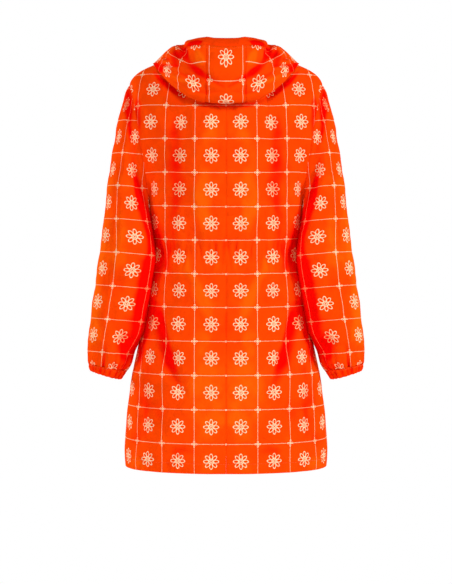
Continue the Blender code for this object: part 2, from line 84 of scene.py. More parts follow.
Section = namedtuple("Section", "height half_width back_depth front_depth")
BODY_SECTIONS = (
    Section(-0.940, 0.2255, 0.166, 0.150),
    Section(-0.880, 0.2280, 0.164, 0.149),
    Section(-0.830, 0.2245, 0.161, 0.146),
    Section(-0.770, 0.2180, 0.156, 0.141),
    Section(-0.720, 0.2105, 0.151, 0.136),
    Section(-0.675, 0.2015, 0.146, 0.131),
    Section(-0.620, 0.1905, 0.138, 0.125),
    Section(-0.560, 0.1800, 0.128, 0.118),
    Section(-0.500, 0.1695, 0.115, 0.109),
    Section(-0.445, 0.1635, 0.107, 0.103),
    Section(-0.400, 0.1680, 0.112, 0.107),
    Section(-0.340, 0.1720, 0.121, 0.114),
)

Column = namedtuple("Column", "across rise_x rise_y rise_z reach_x reach_y reach_z")
BACK_SHAPE = (
    Column(0.00, 0.000, 0.018, 0.115, 0.000, 0.046, -0.070),
    Column(0.40, 0.000, 0.018, 0.110, 0.004, 0.078, -0.018),
    Column(0.75, -0.012, 0.026, 0.100, 0.004, 0.078, -0.008),
    Column(0.92, -0.014, 0.052, 0.052, -0.010, 0.075, -0.030),
    Column(1.00, -0.001, 0.072, 0.024, -0.022, 0.062, -0.062),
)
FRONT_SHAPE = (
    Column(0.00, 0.000, -0.016, 0.100, 0.000, -0.030, -0.060),
    Column(0.40, 0.000, -0.016, 0.100, 0.004, -0.072, -0.020),
    Column(0.75, -0.012, -0.024, 0.095, 0.004, -0.072, -0.010),
    Column(0.92, -0.014, -0.048, 0.052, -0.010, -0.068, -0.032),
    Column(1.00, -0.001, -0.066, 0.024, -0.022, -0.056, -0.064),
)

Ring = namedtuple("Ring", "centre_x centre_y centre_z half_width half_depth lean")
SLEEVE_RINGS = (
    Ring(0.2218, 0.018, -0.397, 0.0536, 0.0680, 6.0),
    Ring(0.2212, 0.027, -0.451, 0.0595, 0.0660, 6.5),
    Ring(0.2295, 0.034, -0.506, 0.0606, 0.0640, 8.0),
    Ring(0.2378, 0.038, -0.560, 0.0595, 0.0615, 8.5),
    Ring(0.2466, 0.038, -0.615, 0.0575, 0.0580, 9.0),
    Ring(0.2570, 0.034, -0.665, 0.0532, 0.0530, 9.5),
    Ring(0.2602, 0.031, -0.688, 0.0500, 0.0480, 10.0),
    Ring(0.2637, 0.028, -0.703, 0.0446, 0.0420, 11.0),
)
CUFF_RINGS = (
    Ring(0.2638, 0.028, -0.7034, 0.0444, 0.0418, 11.0),
    Ring(0.2668, 0.027, -0.7125, 0.0412, 0.0385, 13.0),
    Ring(0.2684, 0.026, -0.7220, 0.0362, 0.0345, 15.5),
)
SLEEVE_HANDLE = 0.085
SLEEVE_RADIUS = 0.062       # of the round sleeve whose flat pattern the print lies on

Rib = namedtuple("Rib", "back_out back_up side_out side_up front_out front_up")
HOOD_RIB = (
    Rib(0.000, 0.000, 0.000, 0.000, 0.000, 0.000),
    Rib(0.012, 0.014, 0.010, 0.011, 0.002, 0.004),
    Rib(0.036, 0.002, 0.026, 0.005, 0.004, 0.008),
    Rib(0.050, -0.044, 0.044, -0.002, 0.006, 0.012),
    Rib(0.059, -0.084, 0.058, -0.012, 0.008, 0.016),
    Rib(0.067, -0.105, 0.071, -0.024, 0.010, 0.020),
    Rib(0.080, -0.102, 0.078, -0.026, 0.011, 0.024),
    Rib(0.090, -0.082, 0.071, -0.016, 0.011, 0.027),
    Rib(0.092, -0.050, 0.058, -0.005, 0.010, 0.030),
    Rib(0.086, -0.014, 0.043, 0.008, 0.009, 0.033),
    Rib(0.068, 0.018, 0.028, 0.016, 0.008, 0.035),
    Rib(0.054, 0.031, 0.014, 0.018, 0.007, 0.036),
    Rib(0.040, 0.039, 0.002, 0.021, 0.006, 0.037),
)
DIP_DEPTH = 0.003           # how far the back of the opening's edge dips on each side of the gusset
DIP_TURN = 0.30
DIP_SPREAD = 0.20
DIP_ROW = 9.0
HOOD_FINENESS = 9           # rows and columns for each of the solids'
HOOD_LOWER_ROWS = 7         # rows of the rib table that lie under the fold
HOOD_REST_GAP = 0.004       # how far the lower layer lies over the shoulders
RIM_ROW = 10                # where the casing of the opening starts in the rib table
GUSSET_HALF = 0.0425
GUSSET_COLUMNS = 4
HOOD_BACK_COLUMNS = 7
HOOD_FRONT_COLUMNS = 9
VALLEY_ROW = 7.5            # a long soft valley behind the opening's edge
VALLEY_CLIMB = 6.0
VALLEY_DEPTH = 0.012
VALLEY_SPREAD = 0.85
VALLEY_IN = 0.8
VALLEY_DOWN = 0.6
HOOD_FRONT_END = 0.001

PLACKET_HALF = 0.026
PLACKET_STITCH = 0.0055     # from the placket's edge to its stitches
STUD_COUNT = 6
STUD_HEIGHT = 0.0030

# ---- Creases -------------------------------------------------------------------------------------

# A crease is a soft trough on a curve of three points, x and z seen from behind. "lip" is how far the
# cloth stands up beside it, on the side away from the centre where it is positive and towards the
# centre where it is negative. A negative depth makes a ridge.
Crease = namedtuple("Crease", "x1 z1 x2 z2 x3 z3 depth spread lip")
BACK_CREASES = (
    # main folds, the same as the solid's
    Crease(0.152, -0.560, 0.134, -0.650, 0.096, -0.745, 0.0130, 0.014, 0.0030),
    Crease(0.108, -0.140, 0.104, -0.250, 0.112, -0.350, 0.0065, 0.018, 0.0),
    Crease(0.190, -0.665, 0.186, -0.760, 0.190, -0.850, 0.0060, 0.012, 0.0),
    # upper back: soft hollows and the bright ridges that run down to the waist
    Crease(0.068, -0.285, 0.060, -0.340, 0.042, -0.420, -0.0042, 0.016, 0.0),
    Crease(0.046, -0.130, 0.036, -0.170, 0.050, -0.215, -0.0028, 0.020, 0.0),
    Crease(0.017, -0.120, 0.015, -0.190, 0.019, -0.260, 0.0016, 0.008, 0.0),
    Crease(0.022, -0.255, 0.048, -0.246, 0.078, -0.262, 0.0014, 0.010, 0.0),
    Crease(0.092, -0.350, 0.076, -0.395, 0.060, -0.432, 0.0040, 0.013, 0.0010),
    Crease(0.030, -0.330, 0.024, -0.380, 0.017, -0.430, 0.0020, 0.009, 0.0),
    Crease(0.133, -0.300, 0.128, -0.360, 0.118, -0.418, 0.0022, 0.012, 0.0),
    Crease(0.158, -0.120, 0.166, -0.180, 0.160, -0.260, 0.0014, 0.012, 0.0),
    # below the waist: folds that start at the gathers, and the pulled lines of the skirt
    Crease(0.142, -0.462, 0.124, -0.500, 0.112, -0.560, 0.0038, 0.015, 0.0008),
    Crease(0.098, -0.470, 0.066, -0.510, 0.030, -0.580, -0.0030, 0.011, 0.0),
    Crease(0.060, -0.468, 0.036, -0.505, 0.020, -0.570, 0.0024, 0.010, 0.0),
    Crease(0.100, -0.520, 0.074, -0.565, 0.040, -0.612, 0.0018, 0.009, 0.0),
    Crease(0.018, -0.590, 0.050, -0.604, 0.090, -0.625, 0.0012, 0.011, 0.0),
    Crease(0.010, -0.648, 0.046, -0.652, 0.084, -0.640, 0.0010, 0.009, 0.0),
    Crease(0.182, -0.668, 0.178, -0.740, 0.184, -0.812, -0.0036, 0.010, 0.0),
    Crease(0.168, -0.552, 0.170, -0.600, 0.164, -0.662, 0.0028, 0.007, 0.0),
    Crease(0.006, -0.735, 0.038, -0.722, 0.074, -0.700, 0.0016, 0.006, 0.0006),
    Crease(0.066, -0.720, 0.084, -0.765, 0.070, -0.825, -0.0022, 0.016, 0.0),
    Crease(0.086, -0.745, 0.078, -0.800, 0.080, -0.860, 0.0022, 0.012, 0.0),
    Crease(0.112, -0.760, 0.136, -0.790, 0.150, -0.835, 0.0016, 0.012, 0.0),
    Crease(0.036, -0.790, 0.030, -0.835, 0.034, -0.890, 0.0014, 0.012, 0.0),
    Crease(0.128, -0.878, 0.098, -0.868, 0.066, -0.880, 0.0020, 0.015, 0.0),
    Crease(0.150, -0.905, 0.120, -0.893, 0.080, -0.897, 0.0012, 0.006, 0.0),
)
FRONT_CREASES = (
    Crease(0.140, -0.540, 0.128, -0.660, 0.112, -0.800, 0.0100, 0.017, 0.0020),
    Crease(0.118, -0.180, 0.108, -0.270, 0.112, -0.360, 0.0055, 0.018, 0.0),
    Crease(0.062, -0.600, 0.066, -0.760, 0.068, -0.925, 0.0062, 0.020, 0.0),
    Crease(0.176, -0.640, 0.180, -0.720, 0.176, -0.820, 0.0040, 0.012, 0.0),
    Crease(0.060, -0.150, 0.066, -0.230, 0.058, -0.330, 0.0024, 0.014, 0.0),
    Crease(0.086, -0.110, 0.092, -0.160, 0.104, -0.220, -0.0020, 0.013, 0.0),
    Crease(0.092, -0.340, 0.084, -0.390, 0.070, -0.432, 0.0034, 0.012, 0.0008),
    Crease(0.050, -0.350, 0.048, -0.395, 0.044, -0.432, 0.0020, 0.008, 0.0),
    Crease(0.132, -0.330, 0.126, -0.380, 0.116, -0.425, 0.0022, 0.010, 0.0),
    Crease(0.050, -0.464, 0.056, -0.520, 0.058, -0.600, 0.0026, 0.010, 0.0),
    Crease(0.088, -0.466, 0.096, -0.520, 0.094, -0.590, 0.0030, 0.012, 0.0),
    Crease(0.126, -0.462, 0.134, -0.500, 0.140, -0.552, 0.0026, 0.010, 0.0),
    Crease(0.090, -0.640, 0.096, -0.740, 0.090, -0.850, -0.0028, 0.014, 0.0),
    Crease(0.150, -0.830, 0.120, -0.870, 0.078, -0.884, 0.0024, 0.012, 0.0),
    Crease(0.160, -0.700, 0.148, -0.770, 0.156, -0.860, -0.0022, 0.012, 0.0),
)
SLEEVE_BACK_CREASES = (
    Crease(0.2130, -0.078, 0.2155, -0.130, 0.2130, -0.198, 0.0030, 0.0055, 0.0010),
    Crease(0.2140, -0.215, 0.2020, -0.262, 0.1920, -0.330, 0.0050, 0.0090, 0.0020),
    Crease(0.2050, -0.190, 0.1960, -0.225, 0.1880, -0.262, 0.0024, 0.0060, 0.0),
    Crease(0.2000, -0.250, 0.1900, -0.285, 0.1850, -0.330, 0.0026, 0.0070, 0.0),
    Crease(0.2330, -0.180, 0.2380, -0.240, 0.2400, -0.310, 0.0018, 0.0100, 0.0),
    Crease(0.2480, -0.300, 0.2500, -0.380, 0.2560, -0.460, 0.0030, 0.0130, 0.0),
    Crease(0.2260, -0.330, 0.2300, -0.420, 0.2360, -0.510, -0.0030, 0.0130, 0.0),
    Crease(0.2620, -0.440, 0.2700, -0.520, 0.2740, -0.600, 0.0026, 0.0110, 0.0),
    Crease(0.2240, -0.470, 0.2420, -0.520, 0.2500, -0.580, 0.0028, 0.0120, 0.0010),
    Crease(0.2660, -0.560, 0.2480, -0.600, 0.2440, -0.650, 0.0018, 0.0100, 0.0),
    Crease(0.2140, -0.560, 0.2270, -0.610, 0.2370, -0.672, 0.0022, 0.0100, 0.0008),
    Crease(0.2880, -0.590, 0.2900, -0.640, 0.2860, -0.690, 0.0020, 0.0090, 0.0),
)
SLEEVE_FRONT_CREASES = (
    Crease(0.2185, -0.075, 0.2215, -0.130, 0.2170, -0.200, 0.0036, 0.0070, 0.0014),
    Crease(0.2120, -0.210, 0.2020, -0.258, 0.1930, -0.320, 0.0044, 0.0090, 0.0016),
    Crease(0.2380, -0.260, 0.2440, -0.340, 0.2440, -0.420, 0.0026, 0.0120, 0.0),
    Crease(0.2300, -0.380, 0.2140, -0.430, 0.2000, -0.470, 0.0048, 0.0110, 0.0016),
    Crease(0.2500, -0.430, 0.2260, -0.482, 0.2060, -0.506, 0.0040, 0.0090, 0.0014),
    Crease(0.2640, -0.500, 0.2460, -0.540, 0.2180, -0.566, 0.0028, 0.0100, 0.0),
    Crease(0.2440, -0.580, 0.2500, -0.630, 0.2480, -0.680, 0.0032, 0.0090, 0.0),
    Crease(0.2740, -0.570, 0.2780, -0.630, 0.2700, -0.690, 0.0024, 0.0090, 0.0),
)
HOOD_CREASES = (
    Crease(0.1380, -0.0130, 0.1310, -0.0200, 0.1235, -0.0270, 0.0052, 0.0042, 0.0016),
    Crease(0.1420, -0.0300, 0.1240, -0.0380, 0.1020, -0.0420, 0.0058, 0.0048, 0.0018),
    Crease(0.0900, -0.0240, 0.0500, -0.0630, 0.0010, -0.0930, 0.0062, 0.0062, 0.0022),
    Crease(0.0980, 0.0060, 0.0900, -0.0120, 0.0800, -0.0320, 0.0050, 0.0060, 0.0014),
    Crease(0.1130, 0.0020, 0.1040, -0.0150, 0.0930, -0.0300, 0.0040, 0.0050, 0.0012),
    Crease(0.1200, -0.0500, 0.0900, -0.0640, 0.0500, -0.0800, 0.0042, 0.0055, 0.0016),
    Crease(0.0700, 0.0020, 0.0600, -0.0180, 0.0470, -0.0420, -0.0024, 0.0090, 0.0),
    Crease(0.0400, -0.1000, 0.0200, -0.1010, -0.0040, -0.1000, 0.0024, 0.0034, 0.0),
    Crease(0.1080, -0.0780, 0.0700, -0.0960, 0.0300, -0.1050, 0.0030, 0.0055, 0.0010),
)

# Painted shade where places lie deep under a fold or beside the sleeve, and painted highlight where they
# stand out (a negative depth); these only change colour
HOOD_SHADES = (
    Crease(0.1010, 0.0080, 0.0940, -0.0120, 0.0850, -0.0320, 0.0036, 0.0090, 0.0),
    Crease(0.1100, 0.0020, 0.1130, -0.0220, 0.1020, -0.0520, 0.0050, 0.0120, 0.0),
    Crease(0.1780, -0.0160, 0.1590, -0.0360, 0.1280, -0.0490, 0.0090, 0.0125, 0.0),
    Crease(0.0920, -0.0300, 0.0660, -0.0550, 0.0400, -0.0760, 0.0030, 0.0085, 0.0),
    Crease(0.0860, 0.0060, 0.0680, 0.0085, 0.0500, 0.0110, 0.0110, 0.0065, 0.0),
    Crease(0.0620, -0.0080, 0.0580, -0.0300, 0.0520, -0.0500, -0.0034, 0.0110, 0.0),
    Crease(0.1160, -0.0660, 0.0900, -0.0780, 0.0520, -0.0900, -0.0018, 0.0080, 0.0),
    Crease(0.1420, -0.0280, 0.1300, -0.0480, 0.1140, -0.0600, 0.0010, 0.0090, 0.0),
)
BACK_SHADES = (
    Crease(0.168, -0.345, 0.158, -0.440, 0.174, -0.600, 0.0080, 0.018, 0.0),
    Crease(0.176, -0.480, 0.172, -0.560, 0.182, -0.640, 0.0060, 0.014, 0.0),
    Crease(0.176, -0.590, 0.186, -0.645, 0.198, -0.700, 0.0062, 0.013, 0.0),
    Crease(0.146, -0.535, 0.143, -0.625, 0.113, -0.750, 0.0034, 0.018, 0.0),
    Crease(0.113, -0.150, 0.115, -0.240, 0.114, -0.340, 0.0030, 0.017, 0.0),
    Crease(0.110, -0.300, 0.112, -0.390, 0.117, -0.490, 0.0026, 0.018, 0.0),
    Crease(0.197, -0.095, 0.195, -0.135, 0.189, -0.190, 0.0050, 0.010, 0.0),
    Crease(0.182, -0.190, 0.178, -0.235, 0.172, -0.290, 0.0014, 0.008, 0.0),
    # the painted shadow under the hood's lower roll
    Crease(0.163, -0.040, 0.128, -0.080, 0.068, -0.121, 0.0072, 0.0066, 0.0),
    Crease(0.070, -0.121, 0.035, -0.1265, -0.040, -0.1290, 0.0056, 0.0060, 0.0),
    Crease(0.176, -0.685, 0.174, -0.760, 0.178, -0.860, 0.0026, 0.010, 0.0),
    Crease(0.165, -0.700, 0.160, -0.790, 0.160, -0.870, 0.0012, 0.034, 0.0),
    Crease(0.125, -0.878, 0.085, -0.876, 0.040, -0.880, 0.0022, 0.013, 0.0),
    Crease(0.050, -0.105, 0.034, -0.160, 0.040, -0.230, -0.0017, 0.026, 0.0),
    Crease(0.054, -0.225, 0.050, -0.330, 0.042, -0.450, -0.0026, 0.022, 0.0),
    Crease(0.088, -0.465, 0.066, -0.520, 0.030, -0.600, -0.0030, 0.017, 0.0),
    Crease(0.070, -0.560, 0.058, -0.620, 0.052, -0.680, -0.0010, 0.030, 0.0),
    Crease(0.052, -0.640, 0.038, -0.750, 0.038, -0.900, -0.0034, 0.040, 0.0),
)
FRONT_SHADES = (
    Crease(0.170, -0.330, 0.162, -0.440, 0.176, -0.620, 0.0060, 0.020, 0.0),
    Crease(0.150, -0.030, 0.180, -0.060, 0.200, -0.110, 0.0018, 0.030, 0.0),
    Crease(0.080, -0.700, 0.078, -0.790, 0.082, -0.880, -0.0030, 0.030, 0.0),
)
SLEEVE_SHADES = (
    Crease(0.201, -0.268, 0.188, -0.330, 0.170, -0.410, 0.0075, 0.010, 0.0),
    Crease(0.171, -0.350, 0.155, -0.450, 0.168, -0.545, 0.0100, 0.015, 0.0),
    Crease(0.163, -0.448, 0.185, -0.556, 0.206, -0.690, 0.0100, 0.0175, 0.0),
    Crease(0.188, -0.330, 0.184, -0.450, 0.206, -0.620, 0.0012, 0.030, 0.0),
    Crease(0.224, -0.622, 0.220, -0.655, 0.226, -0.700, 0.0070, 0.012, 0.0),
    Crease(0.219, -0.070, 0.2175, -0.125, 0.2110, -0.200, 0.0074, 0.009, 0.0),
    Crease(0.208, -0.190, 0.205, -0.225, 0.200, -0.260, 0.0016, 0.008, 0.0),
    Crease(0.262, -0.250, 0.280, -0.430, 0.298, -0.660, -0.0030, 0.026, 0.0),
    Crease(0.236, -0.300, 0.242, -0.430, 0.256, -0.600, -0.0012, 0.020, 0.0),
    Crease(0.284, -0.470, 0.292, -0.580, 0.290, -0.720, -0.0030, 0.020, 0.0),
)

# A swell is soft unevenness: how deep, how wide its bumps are, and the seed of their places
Swell = namedtuple("Swell", "depth size seed")
PANEL_SWELLS = (Swell(0.0011, 0.090, 11), Swell(0.00045, 0.032, 12))
SLEEVE_BROAD = Swell(0.0010, 0.080, 34)
SLEEVE_FINE = Swell(0.0004, 0.028, 35)
HOOD_SWELLS = (Swell(0.0010, 0.060, 41), Swell(0.0004, 0.024, 42))
HEM_PUCKER = Swell(0.0005, 0.030, 13)
CENTRE_PUCKER = Swell(0.0006, 0.026, 14)
ARMHOLE_EASING = Swell(0.0006, 0.030, 33)
RIM_PUCKER = Swell(0.0004, 0.030, 43)
PLACKET_PUCKER = Swell(0.0005, 0.040, 51)

# ---- Curves and sections -------------------------------------------------------------------------


def read_table(table, keys):
    """The table's other columns at values of its first column, on a smooth curve through its rows."""
    rows = np.array(table, dtype=float)
    keys = np.atleast_1d(np.asarray(keys, dtype=float))
    knots = rows[:, 0]
    slopes = np.gradient(rows[:, 1:], knots, axis=0)
    low = np.clip(np.searchsorted(knots, keys) - 1, 0, len(knots) - 2)
    span = (knots[low + 1] - knots[low])[:, None]
    along = (keys - knots[low])[:, None] / span
    start_weight = 2 * along**3 - 3 * along**2 + 1
    start_slope = (along**3 - 2 * along**2 + along) * span
    end_slope = (along**3 - along**2) * span
    return (start_weight * rows[low, 1:] + (1 - start_weight) * rows[low + 1, 1:]
            + start_slope * slopes[low] + end_slope * slopes[low + 1])


def bezier(start, first, second, end, along):
    """Points on a cubic Bezier curve."""
    along = np.asarray(along, dtype=float)[..., None]
    back = 1 - along
    return (back**3 * start + 3 * back**2 * along * first
            + 3 * back * along**2 * second + along**3 * end)


def lengths_along(points):
    """How far each point of a line lies from its first one."""
    steps = np.linalg.norm(np.diff(points, axis=0), axis=1)
    return np.concatenate(([0.0], np.cumsum(steps)))


def points_at(points, shares):
    """Points at shares of a line's length."""
    lengths = lengths_along(points)
    wanted = np.asarray(shares) * lengths[-1]
    return np.stack([np.interp(wanted, lengths, points[:, axis]) for axis in range(points.shape[1])], axis=1)


def lengths_over(grid, axis):
    """How far each point of a grid lies from its first row (axis 0) or its first column (axis 1)."""
    steps = np.linalg.norm(np.diff(grid, axis=axis), axis=2)
    start = np.zeros_like(steps[:1] if axis == 0 else steps[:, :1])
    return np.concatenate([start, np.cumsum(steps, axis=axis)], axis=axis)


def edged_shares(count, near=0.0045, next_in=0.0125, start=True, end=True):
    """Even shares from 0 to 1, with two more beside each end that is a seam."""
    inner = np.linspace(next_in if start else 0.0, 1.0 - next_in if end else 1.0, count + 1)
    before = [0.0, near] if start else []
    after = [1.0 - near, 1.0] if end else []
    return np.concatenate([before, inner, after])


def ring_turns(columns):
    """The turn of each column round a sleeve, from its outer line over the back."""
    return np.arange(columns) * 2 * math.pi / columns


def turn_apart(turn, place):
    """How far turns lie from one turn, the short way round."""
    return np.abs((turn - place + math.pi) % (2 * math.pi) - math.pi)


def smooth_step(share):
    """Shares from 0 to 1 that start and end softly."""
    return share * share * (3 - 2 * share)


def unit(vectors):
    """Vectors of length 1."""
    return vectors / np.linalg.norm(vectors, axis=-1, keepdims=True)


def grid_normals(grid, closed=False):
    """Unit normals of a grid of points, across its columns and up its rows."""
    if closed:
        across = np.roll(grid, -1, axis=1) - np.roll(grid, 1, axis=1)
    else:
        across = np.gradient(grid, axis=1)
    return unit(np.cross(across, np.gradient(grid, axis=0)))


def mirrored(grid):
    """The same grid on the other side of the coat."""
    return grid * np.array([-1.0, 1.0, 1.0])


def both_sides(grid):
    """A half grid that starts at the centre, carried across to the other side."""
    flip = np.array([-1.0, 1.0, 1.0]) if grid.ndim == 3 else 1.0
    return np.concatenate([grid[:, :0:-1] * flip, grid], axis=1)


def both_ways(values):
    """Values of a half grid that change sign on the other side of the centre."""
    return np.concatenate([-values[:, :0:-1], values], axis=1)


# ---- Creases, gathers and sunk lines -------------------------------------------------------------


def crease_depth(creases, x, z):
    """How far the creases push points in. x and z are arrays of one shape, seen from behind."""
    push = np.zeros(x.shape)
    along = np.linspace(0.0, 1.0, 33)
    for crease in creases:
        start = np.array([crease.x1, crease.z1])
        end = np.array([crease.x3, crease.z3])
        middle = 2 * np.array([crease.x2, crease.z2]) - (start + end) / 2
        curve = ((1 - along)**2)[:, None] * start + (2 * along * (1 - along))[:, None] * middle
        curve = curve + (along**2)[:, None] * end
        reach = 4 * crease.spread
        near = ((x > curve[:, 0].min() - reach) & (x < curve[:, 0].max() + reach)
                & (z > curve[:, 1].min() - reach) & (z < curve[:, 1].max() + reach))
        if not near.any():
            continue
        px, pz = x[near], z[near]
        away = (px[:, None] - curve[:, 0])**2 + (pz[:, None] - curve[:, 1])**2
        best = np.argmin(away, axis=1)
        rows = np.arange(len(px))
        distance = np.sqrt(away[rows, best])
        tangent = np.gradient(curve, axis=0)
        turned = tangent[best, 1] * (px - curve[best, 0]) - tangent[best, 0] * (pz - curve[best, 1])
        side = np.sign(turned)
        side = side * np.sign(tangent[best, 1] + 1e-9)
        swell = np.sin(math.pi * (0.04 + 0.92 * along[best]))
        spread = crease.spread * (0.45 + 0.55 * swell)
        strength = swell**0.7
        trough = crease.depth * np.exp(-(distance / spread)**2)
        lip_side = np.sign(crease.lip) if crease.lip else 1.0
        lip = abs(crease.lip) * np.exp(-((distance * side * lip_side - 1.9 * spread) / (1.1 * spread))**2)
        push[near] += strength * (trough - lip)
    return push


def soft_noise(x, z, size, seed, waves=14):
    """A smooth uneven surface between about -1 and 1, with bumps of the given size."""
    chance = np.random.default_rng(seed)
    total = np.zeros(np.broadcast(x, z).shape)
    for _ in range(waves):
        heading = chance.uniform(0, math.pi)
        pitch = 2 * math.pi / (size * chance.uniform(0.7, 1.6))
        place = (x * math.cos(heading) + z * math.sin(heading)) * pitch
        total += np.sin(place + chance.uniform(0, 2 * math.pi))
    return total / math.sqrt(waves)


def swell_depth(swells, x, z):
    """The push of one swell, or of several on one another."""
    return sum(swell.depth * soft_noise(x, z, swell.size, swell.seed) for swell in swells)


Gather = namedtuple("Gather", "place depth spread length shift")
GATHER_LEAN = 0.12


def gather_depth(across, z, height, reach, gathers):
    """Short gathers, upright or nearly so, that cross a drawn-in line at one height."""
    push = np.zeros(np.shape(across))
    for gather in gathers:
        lean = (z - height) * GATHER_LEAN * (-1) ** int(gather.place * 1000)
        beside = (across - gather.place + lean) / gather.spread
        above = (z - height - gather.shift) / (reach * gather.length)
        push += gather.depth * np.exp(-beside**2 - np.abs(above)**2.4)
    return push


def scatter_gathers(start, end, step, depth, seed):
    """Uneven places for gathers along a drawn-in line."""
    chance = np.random.default_rng(seed)
    gathers = []
    place = start
    while place < end:
        gathers.append(Gather(place, depth * chance.uniform(0.45, 1.25), step * chance.uniform(0.24, 0.42),
                              chance.uniform(0.5, 1.35), chance.uniform(-0.004, 0.004)))
        place += step * chance.uniform(0.65, 1.45)
    return gathers


def sunk_line(distance, depth, spread):
    """A soft groove along a line that lies at a distance from each point."""
    return depth * np.exp(-(distance / spread)**2)


# ---- Cloth shells --------------------------------------------------------------------------------

ROOT = "root"
COLLECTION = bpy.data.collections.new("raincoat_cloth")
bpy.context.scene.collection.children.link(COLLECTION)

EDGE_EASE = 0.070           # from a panel's armhole or side edge, where the cloth is eased in
EDGE_BEND = 0.30            # share of its bend that counts in the flat pattern at that edge


def panel_uv(grid):
    """The flat pattern's coordinates of a grid: across from its first column and up from its first row."""
    u = lengths_over(grid[..., :2], 1)
    steps = np.diff(grid, axis=0)
    bend = np.clip((u[:, -1:] - u)[1:] / EDGE_EASE, 0.0, 1.0)
    length = np.hypot(steps[:, :, 2], steps[:, :, 1] * (EDGE_BEND + (1 - EDGE_BEND) * bend))
    v = np.concatenate([np.zeros((1, grid.shape[1])), np.cumsum(length, axis=0)], axis=0)
    return u, v


def even_uv(grid):
    """Flat coordinates that keep rows and columns straight, with the mean lengths of the grid."""
    u, v = panel_uv(grid)
    rows, columns = grid.shape[:2]
    up = v[:, :columns // 2].mean(axis=1)[:, None]
    return np.tile(u[rows // 2], (rows, 1)), np.tile(up, (1, columns))


def tube_uv(grid):
    """The flat coordinates of a sleeve or casing: round from its outer line and down its own length."""
    ring = np.concatenate([grid, grid[:, :1]], axis=1)
    top = np.array([SHOULDER_HALF, 0.0, -SHOULDER_DROP])
    bottom = np.array(CUFF_RINGS[-1][:3])
    length_way = unit(bottom - top)
    across_way = unit(np.cross(length_way, np.array([0.0, -1.0, 0.0])))
    depth_way = np.cross(length_way, across_way)
    down = np.sum((ring - top) * length_way, axis=2)
    middles = np.array(SLEEVE_RINGS)[:, :3]
    at = np.sum((middles - top) * length_way, axis=1)
    centre = np.stack([np.interp(down, at, middles[:, axis]) for axis in range(3)], axis=-1)
    across = np.sum((ring - centre) * across_way, axis=2)
    deep = np.sum((ring - centre) * depth_way, axis=2)
    turn = np.unwrap(np.arctan2(deep, across), axis=1)
    return (turn - turn[:, ring.shape[1] // 2][:, None]) * SLEEVE_RADIUS, -down


def grid_faces(rows, columns, closed):
    """Corner numbers of the outer quads of a grid."""
    last = columns if closed else columns - 1
    row, column = np.meshgrid(np.arange(rows - 1), np.arange(last), indexing="ij")
    row, column = row.ravel(), column.ravel()
    beside = (column + 1) % columns
    corners = np.stack([row * columns + column, row * columns + beside,
                        (row + 1) * columns + beside, (row + 1) * columns + column], axis=1)
    places = np.stack([row, column, row, column + 1, row + 1, column + 1, row + 1, column], axis=1)
    return corners, places.reshape(-1, 4, 2)


def rim_faces(rows, columns, closed, count):
    """Quads that join the outer skin to the inner one round the grid's open edges."""
    faces = []
    places = []

    def close(start, end):
        near, far = (row * columns + column % columns for row, column in (start, end))
        faces.append((near, far, far + count, near + count))
        places.append((start, end, end, start))

    for column in range(columns if closed else columns - 1):
        close((0, column + 1), (0, column))
        close((rows - 1, column), (rows - 1, column + 1))
    if not closed:
        for row in range(rows - 1):
            close((row, 0), (row + 1, 0))
            close((row + 1, columns - 1), (row, columns - 1))
    return np.array(faces), np.array(places)


def cloth_piece(node, outer, normals, uv, materials, painted_shading, closed=False, thickness=CLOTH):
    """A closed thin shell between an outer skin and an inner one, which stands for its solid.

    The UV map holds its flat pattern, and a point attribute paints shade into its colour in its hollows and
    a highlight on its ridges.
    """
    name = f"{node}_cloth"
    rows, columns = outer.shape[:2]
    count = rows * columns
    inner = outer - normals * thickness
    corners, places = grid_faces(rows, columns, closed)
    first = outer.reshape(-1, 3)[corners[len(corners) // 2]]
    facing = np.dot(np.cross(first[1] - first[0], first[3] - first[0]),
                    normals.reshape(-1, 3)[corners[len(corners) // 2][0]])
    rim, rim_places = rim_faces(rows, columns, closed, count)
    faces = np.concatenate([corners, corners[:, ::-1] + count, rim])
    places = np.concatenate([places, places[:, ::-1], rim_places])
    if facing < 0:
        faces = faces[:, ::-1]
        places = places[:, ::-1]
    mesh = bpy.data.meshes.new(name)
    skins = np.concatenate([outer.reshape(-1, 3), inner.reshape(-1, 3)])
    mesh.from_pydata(skins.tolist(), [], faces.tolist())
    u, v = uv
    layer = mesh.uv_layers.new(name="flat_pattern")
    flat = np.stack([u[places[..., 0], places[..., 1]], v[places[..., 0], places[..., 1]]], axis=-1)
    layer.data.foreach_set("uv", flat.reshape(-1).astype(np.float32))
    attribute = mesh.attributes.new("painted_shading", "FLOAT", "POINT")
    shade = np.clip(painted_shading, -1.0, 1.0).ravel()
    attribute.data.foreach_set("value", np.concatenate([shade, shade]).astype(np.float32))
    for material in materials:
        mesh.materials.append(material)
    side = np.zeros(len(faces), dtype=np.int32)
    side[len(corners):2 * len(corners)] = len(materials) - 1
    mesh.polygons.foreach_set("material_index", side)
    mesh.shade_smooth()
    mesh.validate()
    mesh.update()
    stand_for_solid(name, mesh, node)


def stand_for_solid(name, mesh, node):
    """A finished piece that stands for its solid and moves with it."""
    piece = bpy.data.objects.new(name, mesh)
    COLLECTION.objects.link(piece)
    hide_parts(node)
    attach(piece, ROOT)


def cloth_pair(name, outer, normals, uv, materials, painted_shading, closed=False, thickness=CLOTH):
    """The left piece and its mirror image on the right."""
    cloth_piece(f"{name}_left", outer, normals, uv, materials, painted_shading, closed, thickness)
    cloth_piece(f"{name}_right", mirrored(outer), mirrored(normals), uv, materials, painted_shading, closed,
                thickness)


def press_in(grid, normals, depth, closed=False):
    """The grid pushed in by the depth, and the normals of the pushed grid."""
    pushed = grid - normals * depth[..., None]
    fresh = grid_normals(pushed, closed)
    sign = np.sign(np.sum(fresh * normals, axis=2, keepdims=True))
    return pushed, fresh * sign


# ---- Body panels ---------------------------------------------------------------------------------

